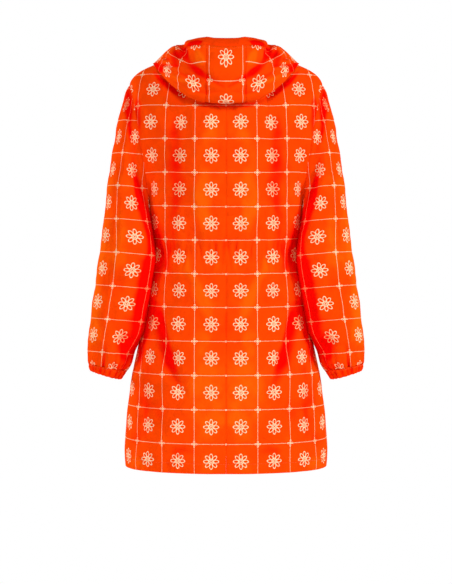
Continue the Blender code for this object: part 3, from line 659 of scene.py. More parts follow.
PAINTED_SHADE_FULL = 0.0075        # the push at which the shade painted in the hollows is at its darkest
FOLD_PAINTED_SHADING = 0.34            # how much of a fold's push is also painted into its colour as shade, or as a highlight on a ridge
GATHER_PAINTED_SHADE = 0.55          # the same painted shade for the gathers at the waist
CUFF_PAINTED_SHADE = 1.1             # the same painted shade at the cuffs
SWELL_PAINTED_SHADING = 0.9            # painted shade and painted highlight for the swells
SEAM_PAINTED_SHADE = 0.12            # painted shade for the panels' seams
HEM_STITCH = 0.0215         # from the hem's edge to its stitches
HEM_STITCH_SINK = 0.0005
WAIST_REACH = 0.030
WAIST_SINK = 0.0009         # how far the drawn-in line turns in between its gathers
RELIEF_FADE = 0.030         # from a seam, over which the folds of a panel grow


def neck_curve(depth, drop, along):
    """The neck seam from the centre to the neck end of the shoulder seam."""
    centre = np.array([0.0, depth, -drop])
    side = np.array([NECK_SIDE, 0.0, 0.0])
    after_centre = centre + [NECK_SIDE * 0.58, 0.0, 0.0]
    before_side = side + [0.0, depth * 0.50, -drop * 0.22]
    return bezier(centre, after_centre, before_side, side, along)


def shoulder_curve(along):
    """The shoulder seam from the neck to the sleeve, with a round end."""
    start = np.array([NECK_SIDE, 0.0, 0.0])
    end = np.array([SHOULDER_HALF, 0.0, -SHOULDER_DROP])
    return bezier(start, np.array([0.135, 0.0, -0.021]), np.array([0.209, 0.0, -0.032]), end, along)


def column_shares(is_back):
    """Where the fine columns lie, counted in the solid's own columns, closer together at the seams."""
    columns = BACK_COLUMNS if is_back else FRONT_COLUMNS
    return edged_shares(columns * PANEL_FINENESS, near=0.0042, next_in=0.0105) * columns


def split_share(points, places, columns, strip_columns):
    """Points of a line at places counted in columns, the first few of which span the placket's half."""
    if not strip_columns:
        return points_at(points, places / columns)
    lengths = lengths_along(points)
    edge = np.interp(PLACKET_HALF, points[:, 0], lengths)
    inside = np.minimum(places / strip_columns, 1.0)
    outside = np.clip((places - strip_columns) / (columns - strip_columns), 0.0, 1.0)
    wanted = inside * edge + outside * (lengths[-1] - edge)
    return np.stack([np.interp(wanted, lengths, points[:, axis]) for axis in range(points.shape[1])], axis=1)


def section_points(half_width, depth, places, columns, strip_columns):
    """A quarter of the body's outline at one height."""
    turn = np.linspace(0.0, math.pi / 2, 361)
    power = 2.0 / SECTION_ROUNDNESS
    outline = np.stack([half_width * np.sin(turn)**power, depth * np.cos(turn)**power], axis=1)
    return split_share(outline, places, columns, strip_columns)


def top_edge(depth, drop, places, columns, neck_columns, strip_columns):
    """The neck seam and the shoulder seam of one panel."""
    along = np.linspace(0.0, 1.0, 241)
    on_neck = places[places <= neck_columns]
    on_shoulder = places[places > neck_columns]
    neck = split_share(neck_curve(depth, drop, along), on_neck, neck_columns, strip_columns)
    shoulder = points_at(shoulder_curve(along), (on_shoulder - neck_columns) / (columns - neck_columns))
    return np.concatenate([neck, shoulder])


def panel_heights():
    """Row heights from the hem to the underarm, closer together at the hem and its stitches."""
    even = np.arange(HEM_HEIGHT + 0.006, UNDERARM_HEIGHT - PANEL_ROW / 2, PANEL_ROW)
    stitches = HEM_HEIGHT + HEM_STITCH + np.array([-0.0014, -0.0007, 0.0, 0.0007, 0.0014])
    even = even[np.abs(even - HEM_HEIGHT - HEM_STITCH) > 0.0022]
    edge = HEM_HEIGHT + np.array([0.0, 0.0008, 0.0024])
    return np.sort(np.concatenate([edge, even, stitches, [UNDERARM_HEIGHT]]))


def base_panel(is_back):
    """The smooth form of one half of the back or front, from the hem up to its top edge."""
    facing = 1.0 if is_back else -1.0
    columns = BACK_COLUMNS if is_back else FRONT_COLUMNS
    neck_columns = BACK_NECK_COLUMNS if is_back else FRONT_NECK_COLUMNS
    strip = 0 if is_back else PLACKET_COLUMNS
    places = column_shares(is_back)
    neck_place = np.argmin(np.abs(places - neck_columns))
    places[neck_place] = neck_columns
    heights = panel_heights()
    rows = []
    for height, (half_width, back_depth, front_depth) in zip(heights, read_table(BODY_SECTIONS, heights)):
        flat = section_points(half_width, back_depth if is_back else front_depth, places, columns, strip)
        rows.append(np.column_stack([flat[:, 0], flat[:, 1] * facing, np.full(len(places), height)]))
    underarm = rows[-1]
    depth = (NECK_BACK_DEPTH if is_back else NECK_FRONT_DEPTH) * facing
    drop = NECK_BACK_DROP if is_back else NECK_FRONT_DROP
    top = top_edge(depth, drop, places, columns, neck_columns, strip)
    shape = BACK_SHAPE if is_back else FRONT_SHAPE
    handles = read_table(shape, np.where(places > strip, places, 0) / columns)
    first, second = underarm + handles[:, :3], top + handles[:, 3:]
    for along in edged_shares(ARMHOLE_ROWS, near=0.006, next_in=0.016, start=False)[1:]:
        rows.append(bezier(underarm, first, second, top, np.full(len(top), along)))
    return np.array(rows), len(heights), neck_place


def panel_normals(grid, facing, low_rows):
    """Outward normals that agree with the neighbour's along the centre, side and shoulder seams."""
    normals = grid_normals(grid) * -facing
    normals[:, 0, 0] = 0.0
    normals[:low_rows, -1, 1] = 0.0
    on_shoulder = np.abs(grid[-1, :, 1]) < 2 * SEAM_GAP
    normals[-1, on_shoulder, 1] = 0.0
    return unit(normals)


def panel_relief(grid, is_back, creases, gathers):
    """How far each point of a panel is pushed in, and how much shade or highlight is painted into its
    colour.
    """
    x, z = grid[..., 0], grid[..., 2]
    from_centre, up = lengths_over(grid, 1), lengths_over(grid, 0)
    from_side, from_top = from_centre[:, -1:] - from_centre, up[-1:] - up
    fade = smooth_step(np.clip(np.minimum(from_side, from_top) / RELIEF_FADE, 0.0, 1.0))
    near_centre = 1.0 if is_back else np.clip((from_centre - PLACKET_HALF) / 0.015, 0.0, 1.0)
    folds = crease_depth(creases, x, z) * fade * near_centre
    gathered = gather_depth(from_centre, z, WAIST_HEIGHT, WAIST_REACH, gathers) * near_centre
    gathered = gathered * np.clip(from_side / 0.012, 0.0, 1.0)
    drawn = sunk_line(z - WAIST_HEIGHT, WAIST_SINK, 0.009) * near_centre
    drawn = drawn * np.clip(from_side / 0.010, 0.0, 1.0)
    swells = swell_depth(PANEL_SWELLS, x, z) * fade * near_centre
    hem = swell_depth([HEM_PUCKER], x * 3.0, z * 0.4)
    hem = hem * sunk_line(z - HEM_HEIGHT - HEM_STITCH * 0.5, 1.0, 0.014)
    sewn = sunk_line(z - HEM_HEIGHT - HEM_STITCH, HEM_STITCH_SINK, 0.0011)
    seams = sunk_line(from_top, SEAM_SINK, SEAM_SPREAD) + sunk_line(from_side, SIDE_SINK, SEAM_SPREAD)
    push = folds + gathered + drawn + swells + hem + sewn
    if is_back:
        seams = seams + sunk_line(from_centre, SEAM_SINK, SEAM_SPREAD)
        push = push + np.exp(-from_centre / 0.010) * swell_depth([CENTRE_PUCKER], x * 0.0, z)
    shades = crease_depth(BACK_SHADES if is_back else FRONT_SHADES, x, z)
    # Shade painted into the colour along folds, gathers and seams, highlight painted where ridges and swells
    # stand out, and the painted shade and highlight strokes
    shade_and_highlight_paint = FOLD_PAINTED_SHADING * folds + shades + GATHER_PAINTED_SHADE * gathered + SWELL_PAINTED_SHADING * swells
    return push + seams, shade_and_highlight_paint / PAINTED_SHADE_FULL + SEAM_PAINTED_SHADE * seams / SEAM_SINK


def make_panels(materials):
    """Back and front halves. Returns what the sleeves, hood, placket and stitches start from."""
    made = {}
    back_gathers = scatter_gathers(start=0.006, end=0.205, step=0.0135, depth=0.0044, seed=21)
    front_gathers = scatter_gathers(start=0.036, end=0.190, step=0.0145, depth=0.0040, seed=22)
    for name, is_back, creases, gathers in (("back", True, BACK_CREASES, back_gathers),
                                            ("front", False, FRONT_CREASES, front_gathers)):
        facing = 1.0 if is_back else -1.0
        grid, low_rows, neck_place = base_panel(is_back)
        normals = panel_normals(grid, facing, low_rows)
        relief, painted_shading = panel_relief(grid, is_back, creases, gathers)
        pushed = grid - normals * relief[..., None]
        normals = panel_normals(pushed, facing, low_rows)
        pushed = pushed + np.array([SHELL_GAP / 2, SHELL_GAP / 2 * facing, 0.0])
        cloth_pair(name, pushed, normals, panel_uv(grid), materials, painted_shading)
        made[name] = {"grid": pushed, "smooth": grid, "normals": normals, "low_rows": low_rows,
                      "neck_place": neck_place}
    return made


# ---- Sleeves and casings -------------------------------------------------------------------------


def ring_table(rings, count):
    """Rings on a smooth curve through the table, evenly spaced by the given count."""
    rows = np.array(rings, dtype=float)
    lengths = lengths_along(rows[:, :3])
    keyed = np.column_stack([lengths, rows])
    return read_table(keyed, np.linspace(0.0, lengths[-1], count + 1))


def ring_points(ring, columns):
    """The points of one ring of a sleeve: outside, back, inside, front."""
    centre_x, centre_y, centre_z, half_width, half_depth, lean = ring
    turn = ring_turns(columns)
    lean = math.radians(lean)
    across = half_width * np.cos(turn)
    return np.column_stack([centre_x + across * math.cos(lean), centre_y + half_depth * np.sin(turn),
                            centre_z + across * math.sin(lean)])


def armhole_ring(back, front):
    """The armhole's points and normals, from the shoulder down the back edge and up the front edge."""
    back_edge = back["grid"][back["low_rows"] - 1:, -1][::-1]
    front_edge = front["grid"][front["low_rows"] - 1:, -1]
    back_normals = back["normals"][back["low_rows"] - 1:, -1][::-1]
    front_normals = front["normals"][front["low_rows"] - 1:, -1]
    points = np.concatenate([back_edge, front_edge[1:-1]])
    normals = np.concatenate([back_normals, front_normals[1:-1]])
    for seam in (0, len(back_edge) - 1):
        points[seam, 1] = 0.0
        normals[seam, 1] = 0.0
    return points, unit(normals)


def smooth_round(values, spread):
    """Values round a ring, each the mean of its neighbours, nearest ones most."""
    total = np.zeros(values.shape)
    weights = 0.0
    for step in range(-3 * spread, 3 * spread + 1):
        weight = math.exp(-(step / spread)**2)
        total += weight * np.roll(values, step, axis=0)
        weights += weight
    return total / weights


CAP_TURN = -0.15            # keeps the sleeve head's columns apart at the shoulder's round end
CAP_SMOOTH = 7
HEAD_WAY = np.array([0.55, 0.0, -0.35])


def near_shoulder(turn):
    """1 round the armhole, and 0 at the underarm, where its line is too sharp to follow."""
    return np.clip((np.cos(turn) + 0.8) / 0.5, 0.0, 1.0)[:, None]


def sleeve_grid(armhole, armhole_normals):
    """The sleeve's smooth form from the armhole to the casing."""
    columns = len(armhole)
    turn = ring_turns(columns)
    along_edge = np.roll(armhole, -1, axis=0) - np.roll(armhole, 1, axis=0)
    share = near_shoulder(turn)
    outward = unit(np.cross(along_edge, armhole_normals)) * share + np.array([1.0, 0.0, 0.0]) * (1 - share)
    outward = unit(smooth_round(outward * np.array([1.0, CAP_TURN, 1.0]), CAP_SMOOTH))
    start = armhole + outward * SHELL_GAP
    first = ring_points(SLEEVE_RINGS[0], columns)
    second = ring_points(SLEEVE_RINGS[1], columns)
    shoulder_share = ((1 + np.cos(turn)) / 2)[:, None]
    head = unit(outward + HEAD_WAY) * (0.012 + SLEEVE_HANDLE * 0.45 * shoulder_share)
    tail = unit(first - second) * (0.012 + SLEEVE_HANDLE * shoulder_share)
    rows = [bezier(start, start + head, first + tail, first, np.full(columns, along))
            for along in edged_shares(SLEEVE_HEAD_ROWS, near=0.008, next_in=0.020, end=False)[:-1]]
    tube = np.array([ring_points(ring, columns) for ring in ring_table(SLEEVE_RINGS, SLEEVE_TUBE_ROWS)])
    return lean_on_body(np.concatenate([np.array(rows), tube]), turn)


LEAN_IN = 0.0100            # how far the sleeve's inner side is drawn towards the body and to the back
LEAN_GAP = 0.0022
LEAN_TOP = -0.315
LEAN_BOTTOM = -0.665
LEAN_SOFTNESS = 0.0012


def lean_on_body(grid, turn):
    """Lays the inner side of the sleeve against the side of the body, just clear of it."""
    height = grid[..., 2]
    inner = np.clip(-np.cos(turn) * 1.3 + 0.1, 0.0, 1.0)[None, :]**1.5
    share = inner * np.clip((LEAN_TOP + 0.03 - height) / 0.06, 0.0, 1.0)
    share = share * np.clip((height - LEAN_BOTTOM) / 0.04, 0.0, 1.0)
    share = share * np.clip(lengths_over(grid, 0) / 0.010, 0.0, 1.0)
    leaned = grid.copy()
    leaned[..., 0] -= LEAN_IN * 0.8 * share
    leaned[..., 1] += LEAN_IN * share
    body = read_table(BODY_SECTIONS, height.ravel()).reshape(height.shape + (3,))
    depth = np.where(leaned[..., 1] > 0, body[..., 1], body[..., 2])
    level = np.clip(np.abs(leaned[..., 1]) / depth, 0.0, 1.0)
    limit = body[..., 0] * (1 - level**SECTION_ROUNDNESS)**(1 / SECTION_ROUNDNESS) + LEAN_GAP
    room = (leaned[..., 0] - limit) / LEAN_SOFTNESS
    eased = limit + LEAN_SOFTNESS * np.log1p(np.exp(np.clip(room, -30, 30)))
    held = leaned[..., 0] * (1 - share) + eased * share
    leaned[..., 0] = np.where((share > 0) & (room < 8), held, leaned[..., 0])
    return leaned


def cuff_gathers(columns, seed):
    """An uneven ripple round the wrist, between 0 and 1, sharper in its hollows."""
    chance = np.random.default_rng(seed)
    turn = ring_turns(columns)
    ripple = np.zeros(columns)
    place = 0.0
    while place < 2 * math.pi:
        depth = chance.uniform(0.45, 1.0)
        spread = chance.uniform(0.075, 0.115)
        ripple += sunk_line(turn_apart(turn, place), depth, spread)
        place += chance.uniform(0.20, 0.42)
    return ripple


# The deep folds that run up from the cuff: their turn round the wrist, and their share of the depth
INNER_FOLDS = ((1.35, 0.5), (1.90, 0.7), (2.15, 1.0), (2.48, 0.9), (2.95, 0.8), (3.65, 0.8), (4.30, 0.6))
INNER_FOLD_DEPTH = 0.0050
INNER_FOLD_REACH = 0.085
INNER_FOLD_SPREAD = 0.085
INNER_FOLD_WIDENING = 0.9
CUFF_RIPPLE = 0.0050
SLEEVE_FADE = 0.022         # from the armhole, over which the folds of a sleeve grow


def sleeve_relief(grid):
    """How far each point of the left sleeve is pushed in, and how much shade or highlight is painted into
    its colour.
    """
    columns = grid.shape[1]
    x, y, z = grid[..., 0], grid[..., 1], grid[..., 2]
    turn = ring_turns(columns)[None, :]
    from_armhole = lengths_over(grid, 0)
    from_cuff = from_armhole[-1:] - from_armhole
    fade = np.clip(from_armhole / SLEEVE_FADE, 0.0, 1.0)
    behind = crease_depth(SLEEVE_BACK_CREASES, x, z) * np.clip(np.sin(turn) * 2.5, 0.0, 1.0)
    before = crease_depth(SLEEVE_FRONT_CREASES, x, z) * np.clip(-np.sin(turn) * 2.5, 0.0, 1.0)
    folds = (behind + before) * smooth_step(fade)
    reach = np.clip(1.0 - from_cuff / (0.030 + 0.040 * cuff_gathers(columns, 32)[None, :]), 0.0, 1.0)
    gathered = CUFF_RIPPLE * cuff_gathers(columns, 31)[None, :] * reach**1.4
    fold_fade = np.clip(1.0 - from_cuff / INNER_FOLD_REACH, 0.0, 1.0)
    spread = INNER_FOLD_SPREAD + from_cuff * INNER_FOLD_WIDENING
    for place, depth in INNER_FOLDS:
        fold = sunk_line(turn_apart(turn, place), INNER_FOLD_DEPTH * depth, spread)
        gathered = gathered + fold * fold_fade
    easing = swell_depth([ARMHOLE_EASING], turn * 0.060, z * 0.0) * np.exp(-from_armhole / 0.016)
    outer_side = np.clip((np.cos(turn) + 1.0) / 0.35, 0.0, 1.0)
    swells = swell_depth([SLEEVE_BROAD], x + y, z) + swell_depth([SLEEVE_FINE], x - y, z)
    swells = swells * fade * outer_side
    inner_seam = sunk_line(turn_apart(turn, math.pi) * 0.055, SIDE_SINK, SEAM_SPREAD)
    seams = sunk_line(from_armhole, SEAM_SINK, SEAM_SPREAD) + inner_seam
    at_cuff = sunk_line(from_cuff, 0.0006, 0.0016)
    shades = crease_depth(SLEEVE_SHADES, x, z)
    # Shade painted into the colour along folds, gathers and seams, highlight painted where ridges and swells
    # stand out, and the painted shade and highlight strokes
    shade_and_highlight_paint = FOLD_PAINTED_SHADING * folds + shades + CUFF_PAINTED_SHADE * gathered + SWELL_PAINTED_SHADING * swells
    painted_shading = shade_and_highlight_paint / PAINTED_SHADE_FULL + 0.3 * seams / SEAM_SINK
    return folds + gathered + easing + swells + seams + at_cuff, painted_shading


def tube_pair(name, grid, pushed, normals, materials, painted_shading, thickness=CLOTH):
    """Both sides of a sleeve or casing. Its columns start at the inner seam, where its cut ends meet."""
    half = grid.shape[1] // 2
    turned = (np.roll(values, -half, axis=1) for values in (grid, pushed, normals, painted_shading))
    smooth, outer, outward, shade = turned
    cloth_pair(name, outer, outward, tube_uv(smooth), materials, shade, True, thickness)


def make_sleeves(made, materials, casing):
    """Both sleeves and their elastic casings. Returns the left casing's stitch line and its normals."""
    armhole, armhole_normals = armhole_ring(made["back"], made["front"])
    grid = sleeve_grid(armhole, armhole_normals)
    normals = -grid_normals(grid, closed=True)
    share = near_shoulder(ring_turns(grid.shape[1]))
    normals[0] = unit(armhole_normals * share + normals[0] * (1 - share))
    relief, painted_shading = sleeve_relief(grid)
    relief[0] = 0.0
    pushed, fresh = press_in(grid, normals, relief, closed=True)
    fresh[0] = unit(fresh[0] + armhole_normals)
    tube_pair("sleeve", grid, pushed, fresh, materials, painted_shading)
    return make_cuffs(grid.shape[1], relief[-1], casing)


CUFF_STITCH = 0.16          # where the stitches lie, as a share of the casing's length


def make_cuffs(columns, edge_relief, casing):
    """Both elastic casings, which start from the sleeve's last ring and its relief."""
    grid = np.array([ring_points(ring, columns) for ring in ring_table(CUFF_RINGS, CUFF_ROWS)])
    grid[0] -= unit(grid[0] - grid[1]) * SHELL_GAP
    normals = -grid_normals(grid, closed=True)
    along = np.linspace(0.0, 1.0, grid.shape[0])[:, None]
    ripple = CUFF_RIPPLE * cuff_gathers(columns, 36)[None, :] * (0.55 + 0.45 * np.sin(math.pi * along))
    own_share = np.clip(along * 6, 0.0, 1.0)
    stitches = sunk_line((along - CUFF_STITCH) * 0.020, 0.0008, 0.0010)
    turned_edge = 0.0016 * np.exp(-(1 - along) / 0.06)
    relief = edge_relief[None, :] * (1 - own_share) + ripple * own_share + stitches + turned_edge
    pushed, fresh = press_in(grid, normals, relief, closed=True)
    # The gathers of the casing are painted into its colour as shade.
    tube_pair("cuff", grid, pushed, fresh, casing, ripple / PAINTED_SHADE_FULL * 1.3, CLOTH * 1.4)
    stitch_row = int(CUFF_STITCH * (grid.shape[0] - 1))
    return pushed[stitch_row], fresh[stitch_row]


# ---- Hood ----------------------------------------------------------------------------------------


def hood_seam(back, front):
    """Points on the neck edge of the panels, from the centre back round to the centre front."""
    back_neck = back["smooth"][-1, :back["neck_place"] + 1].copy()
    front_neck = front["smooth"][-1, :front["neck_place"] + 1][::-1].copy()
    back_neck[0, 0] = 0.0
    gusset_end = np.array([np.interp(GUSSET_HALF, back_neck[:, 0], back_neck[:, axis]) for axis in range(3)])
    gusset = np.concatenate([back_neck[back_neck[:, 0] < GUSSET_HALF], [gusset_end]])
    back_side = np.concatenate([[gusset_end], back_neck[back_neck[:, 0] > GUSSET_HALF]])
    front_end = np.array([np.interp(HOOD_FRONT_END, front_neck[::-1, 0], front_neck[::-1, axis])
                          for axis in range(3)])
    front_side = np.concatenate([front_neck[front_neck[:, 0] > HOOD_FRONT_END], [front_end]])
    counts = (GUSSET_COLUMNS // 2, HOOD_BACK_COLUMNS, HOOD_FRONT_COLUMNS)
    parts = [points_at(line, np.linspace(0.0, 1.0, count * HOOD_FINENESS + 1))
             for line, count in zip((gusset, back_side, front_side), counts)]
    return np.concatenate([parts[0], parts[1][1:], parts[2][1:]])


def hood_ribs(seam, turns, places):
    """The hood's smooth form, and how far it is pressed in along its valley.

    Rows lie at places counted in the rib table's rows. Columns lie at turns: 0 on the gusset, 1 at the
    shoulder and 2 at the centre front.
    """
    table = np.column_stack([np.arange(len(HOOD_RIB)), np.array(HOOD_RIB)])
    ribs = Rib(*read_table(table, places).T[:, :, None])
    back_share = 0.5 + 0.5 * np.cos(math.pi * np.minimum(turns, 1.0))
    front_share = 0.5 - 0.5 * np.cos(math.pi * np.maximum(turns - 1.0, 0.0))
    side_share = 1.0 - back_share - front_share
    out = ribs.back_out * back_share + ribs.side_out * side_share + ribs.front_out * front_share
    rise = ribs.back_up * back_share + ribs.side_up * side_share + ribs.front_up * front_share
    valley = places[:, None] - VALLEY_ROW - VALLEY_CLIMB * turns[None, :]
    press = sunk_line(valley, VALLEY_DEPTH, VALLEY_SPREAD) * np.maximum(0.0, 1.0 - turns**2)[None, :]
    out = out - press * VALLEY_IN
    rise = rise - press * VALLEY_DOWN
    dip = sunk_line(turns - DIP_TURN, DIP_DEPTH, DIP_SPREAD) * (turns > 0)
    rise = rise - dip[None, :] * np.clip((places[:, None] - DIP_ROW) / 2.5, 0.0, 1.0)
    angle = turns * math.pi / 2
    way = np.column_stack([np.sin(angle), np.cos(angle), np.zeros(len(turns))])
    grid = seam[None, :, :] + out[..., None] * way[None, :, :]
    grid[..., 2] += rise + SEAM_GAP
    return grid, press


LIFT_ROUNDS = 14            # of smoothing, once the lower layer is lifted


def rest_on_shoulders(grid, places, panels):
    """Lifts the lower layer of the hood to lie just clear of the panels under it."""
    corners = []
    faces = []
    for panel in panels:
        points = panel["grid"][::2, ::2]
        rows, columns = points.shape[:2]
        first = len(corners)
        corners += points.reshape(-1, 3).tolist()
        quads, _ = grid_faces(rows, columns, False)
        faces += (quads + first).tolist()
    surface = BVHTree.FromPolygons(corners, faces)
    lift = np.zeros(grid.shape[:2])
    for row in np.nonzero((places >= 1.6) & (places <= HOOD_LOWER_ROWS - 0.6))[0]:
        for column in range(grid.shape[1]):
            point = grid[row, column]
            hit = surface.ray_cast(Vector((point[0], point[1], 1.0)), Vector((0.0, 0.0, -1.0)))[0]
            if hit is not None:
                lift[row, column] = max(0.0, hit.z + HOOD_REST_GAP - point[2])
    smooth = lift.copy()
    for _ in range(LIFT_ROUNDS):
        padded = np.pad(smooth, 1, mode="edge")
        beside = padded[:-2, 1:-1] + padded[2:, 1:-1] + padded[1:-1, :-2] + padded[1:-1, 2:]
        smooth = np.maximum(lift, beside / 4)
    grid[..., 2] += smooth


GUSSET_SHIFT = (0.032, -0.025)      # of the flat pattern, to put a daisy on the gusset's middle line
SIDE_SHIFT = (0.004, 0.022)
RIM_PLACE_LENGTH = 0.028            # of one row of the rib table, at the casing and at the neck
NECK_PLACE_LENGTH = 0.020
HOOD_FOLD_PAINTED_SHADING = 0.6        # how much of its folds, swells and valley is painted into its colour as shade, and as highlight where they stand out
HOOD_SWELL_PAINTED_SHADING = 0.8
VALLEY_PAINTED_SHADE = 0.1


def hood_relief(grid, turns, places, middle, press):
    """How far each point of the hood is pushed in, and how much shade or highlight is painted into its
    colour.
    """
    x, z = grid[..., 0], grid[..., 2]
    turns, places = turns[None, :], places[:, None]
    upper = np.clip((places - HOOD_LOWER_ROWS + 1.4) / 0.8, 0.0, 1.0)
    end_fade = np.clip((1.85 - turns) / 0.25, 0.0, 1.0)
    folds = crease_depth(HOOD_CREASES, x, z) * upper * end_fade * np.clip((1.2 - turns) / 0.3, 0.0, 1.0)
    swells = swell_depth(HOOD_SWELLS, x, z) * end_fade
    across = lengths_over(grid, 1)
    from_gusset = np.abs(across - across[:, middle:middle + 1])
    from_rim = places - RIM_ROW
    gusset_seam = sunk_line(from_gusset, SEAM_SINK * 0.9, SEAM_SPREAD) * (from_rim < 0.01)
    at_rim = sunk_line(from_rim * RIM_PLACE_LENGTH, 0.0010, 0.0016)
    at_neck = sunk_line(places * NECK_PLACE_LENGTH, 0.0008, 0.0025)
    pucker = swell_depth([RIM_PUCKER], across * 2.2, z * 0.0) * sunk_line(from_rim, 1.0, 0.7)
    shades = crease_depth(HOOD_SHADES, x, z) * upper
    # Shade painted into the colour along folds, the valley and the gusset seam, highlight painted where
    # swells stand out, and the painted shade and highlight strokes
    shade_and_highlight_paint = HOOD_FOLD_PAINTED_SHADING * folds + shades + HOOD_SWELL_PAINTED_SHADING * swells + VALLEY_PAINTED_SHADE * press
    painted_shading = shade_and_highlight_paint / PAINTED_SHADE_FULL + 0.3 * gusset_seam / SEAM_SINK
    return folds + swells * upper + gusset_seam + at_rim + at_neck + pucker, painted_shading


def make_hood(made, materials, casing):
    """The gusset, two sides and the casing of the opening. Returns the casing's stitch line and normals."""
    seam = hood_seam(made["back"], made["front"])
    middle = GUSSET_COLUMNS // 2 * HOOD_FINENESS
    front_count = HOOD_FRONT_COLUMNS * HOOD_FINENESS
    turns = np.concatenate([np.zeros(middle), np.linspace(0.0, 1.0, HOOD_BACK_COLUMNS * HOOD_FINENESS + 1),
                            1.0 + np.arange(1, front_count + 1) / front_count])
    last = len(HOOD_RIB) - 1
    places = np.concatenate([np.linspace(0.0, RIM_ROW, RIM_ROW * HOOD_FINENESS + 1),
                             np.linspace(RIM_ROW, last, (last - RIM_ROW) * HOOD_FINENESS + 1)])
    grid, press = hood_ribs(seam, turns, places)
    rest_on_shoulders(grid, places, (made["back"], made["front"]))
    normals = -grid_normals(grid)
    normals[:, 0, 0] = 0.0
    relief, painted_shading = hood_relief(grid, turns, places, middle, press)
    pushed, fresh = press_in(grid, unit(normals), relief)
    fresh[:, 0, 0] = 0.0
    fresh = unit(fresh)
    u, v = even_uv(grid)
    hood, rim = slice(0, RIM_ROW * HOOD_FINENESS + 1), slice(RIM_ROW * HOOD_FINENESS + 1, None)
    half, beside = slice(0, middle + 1), slice(middle, None)
    gusset = pushed[hood, half].copy()
    gusset[:, -1, 0] -= SHELL_GAP / 2
    gusset_uv = (both_ways(u[hood, half]) + GUSSET_SHIFT[0], both_sides(v[hood, half]) + GUSSET_SHIFT[1])
    cloth_piece("hood_gusset", both_sides(gusset), both_sides(fresh[hood, half]), gusset_uv,
                materials, both_sides(painted_shading[hood, half]))
    side = pushed[hood, beside].copy()
    side[:, 0, 0] += SHELL_GAP / 2
    side_uv = (u[hood, beside] - u[hood, middle:middle + 1] + SIDE_SHIFT[0], v[hood, beside] + SIDE_SHIFT[1])
    cloth_pair("hood_side", side, fresh[hood, beside], side_uv, materials,
               painted_shading[hood, beside])
    edge = pushed[rim].copy()
    edge[0] += unit(edge[1] - edge[0]) * SHELL_GAP
    cloth_piece("hood_rim", both_sides(edge), both_sides(fresh[rim]),
                (both_ways(u[rim]), both_sides(v[rim])), casing, both_sides(painted_shading[rim]),
                thickness=CLOTH * 1.6)
    stitch_row = slice(hood.stop - 3, hood.stop - 2)
    return both_sides(pushed[stitch_row])[0], both_sides(fresh[stitch_row])[0]


# ---- Placket and press studs ---------------------------------------------------------------------


def make_placket(made, casing):
    """The strip over the centre front, moved out from the front's own points.

    Returns its points and normals, and how far each is from the nearer edge, for the stitches.
    """
    front = made["front"]
    inside = np.nonzero(column_shares(False) <= PLACKET_COLUMNS + 1e-6)[0]
    strip = both_sides(front["grid"][:, inside])
    strip[:, len(inside) - 1, 0] = 0.0
    normals = both_sides(front["normals"][:, inside])
    lifted = strip + normals * (SOLID_CLOTH + SEAM_GAP)
    across = lengths_over(lifted, 1)
    from_edge = np.minimum(across, across[:, -1:] - across)
    stitches = sunk_line(from_edge - PLACKET_STITCH, 0.0006, 0.0012)
    turned_edge = 0.0007 * np.exp(-from_edge / 0.0010)
    relief = stitches + turned_edge + swell_depth([PLACKET_PUCKER], lifted[..., 0], lifted[..., 2])
    pushed, fresh = press_in(lifted, normals, relief)
    # Its stitch lines and turned edge are painted into its colour as shade, and its puckers as shade and
    # highlight.
    cloth_piece("placket", pushed, fresh, panel_uv(lifted), casing, relief / PAINTED_SHADE_FULL,
                thickness=CLOTH * 1.2)
    return pushed, fresh, from_edge


StudPoint = namedtuple("StudPoint", "radius height")
STUD_PROFILE = (
    StudPoint(0.0000, 0.00270), StudPoint(0.0020, 0.00262), StudPoint(0.0036, 0.00238),
    StudPoint(0.0044, 0.00208), StudPoint(0.0047, 0.00188), StudPoint(0.0050, 0.00196),
    StudPoint(0.0054, 0.00222), StudPoint(0.0059, 0.00216), StudPoint(0.0063, 0.00178),
    StudPoint(0.0065, 0.00110), StudPoint(0.0064, 0.00030), StudPoint(0.0061, 0.00000),
    StudPoint(0.0000, 0.00000),
)
STUD_SEGMENTS = 40


def cap_mesh(base, turn, name):
    """The stud's profile spun round its axis, with closed poles."""
    turns = [2 * math.pi * step / STUD_SEGMENTS for step in range(STUD_SEGMENTS)]
    corners = [(0.0, 0.0, STUD_PROFILE[0].height)]
    for point in STUD_PROFILE[1:-1]:
        corners += [(point.radius * math.cos(angle), point.radius * math.sin(angle), point.height)
                    for angle in turns]
    foot = len(corners) - STUD_SEGMENTS
    last = len(corners)
    corners.append((0.0, 0.0, STUD_PROFILE[-1].height))
    steps = [(step, (step + 1) % STUD_SEGMENTS) for step in range(STUD_SEGMENTS)]
    faces = [(0, 1 + step, 1 + beside) for step, beside in steps]
    for low in range(1, foot, STUD_SEGMENTS):
        high = low + STUD_SEGMENTS
        faces += [(low + step, high + step, high + beside, low + beside) for step, beside in steps]
    faces += [(foot + beside, foot + step, last) for step, beside in steps]
    mesh = bpy.data.meshes.new(name)
    mesh.from_pydata([tuple(base + turn @ Vector(corner)) for corner in corners], [], faces)
    return mesh


def make_studs(material):
    """A domed cap with a rolled rim for each press stud, turned on its solid's own axis."""
    for number in range(1, STUD_COUNT + 1):
        node = f"stud_{number}"
        points = np.array([vertex.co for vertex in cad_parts[node].data.vertices])
        centre = (points.min(axis=0) + points.max(axis=0)) / 2
        thinnest = np.linalg.svd(points - points.mean(axis=0))[2][2]
        axis = Vector(thinnest if thinnest[1] < 0 else -thinnest)
        base = Vector(centre) - axis * (STUD_HEIGHT / 2)
        mesh = cap_mesh(base, axis.to_track_quat("Z", "Y"), f"stud_cap_{number}")
        mesh.materials.append(material)
        mesh.shade_smooth()
        mesh.update()
        stand_for_solid(f"stud_cap_{number}", mesh, node)


# ---- Stitches ------------------------------------------------------------------------------------

STITCH_SIZES = {"Pitch": 0.0042, "Stitch Length": 0.0030, "Thread Width": 0.00075}
THREAD_RISE = 0.00015       # of a stitch's middle over the cloth


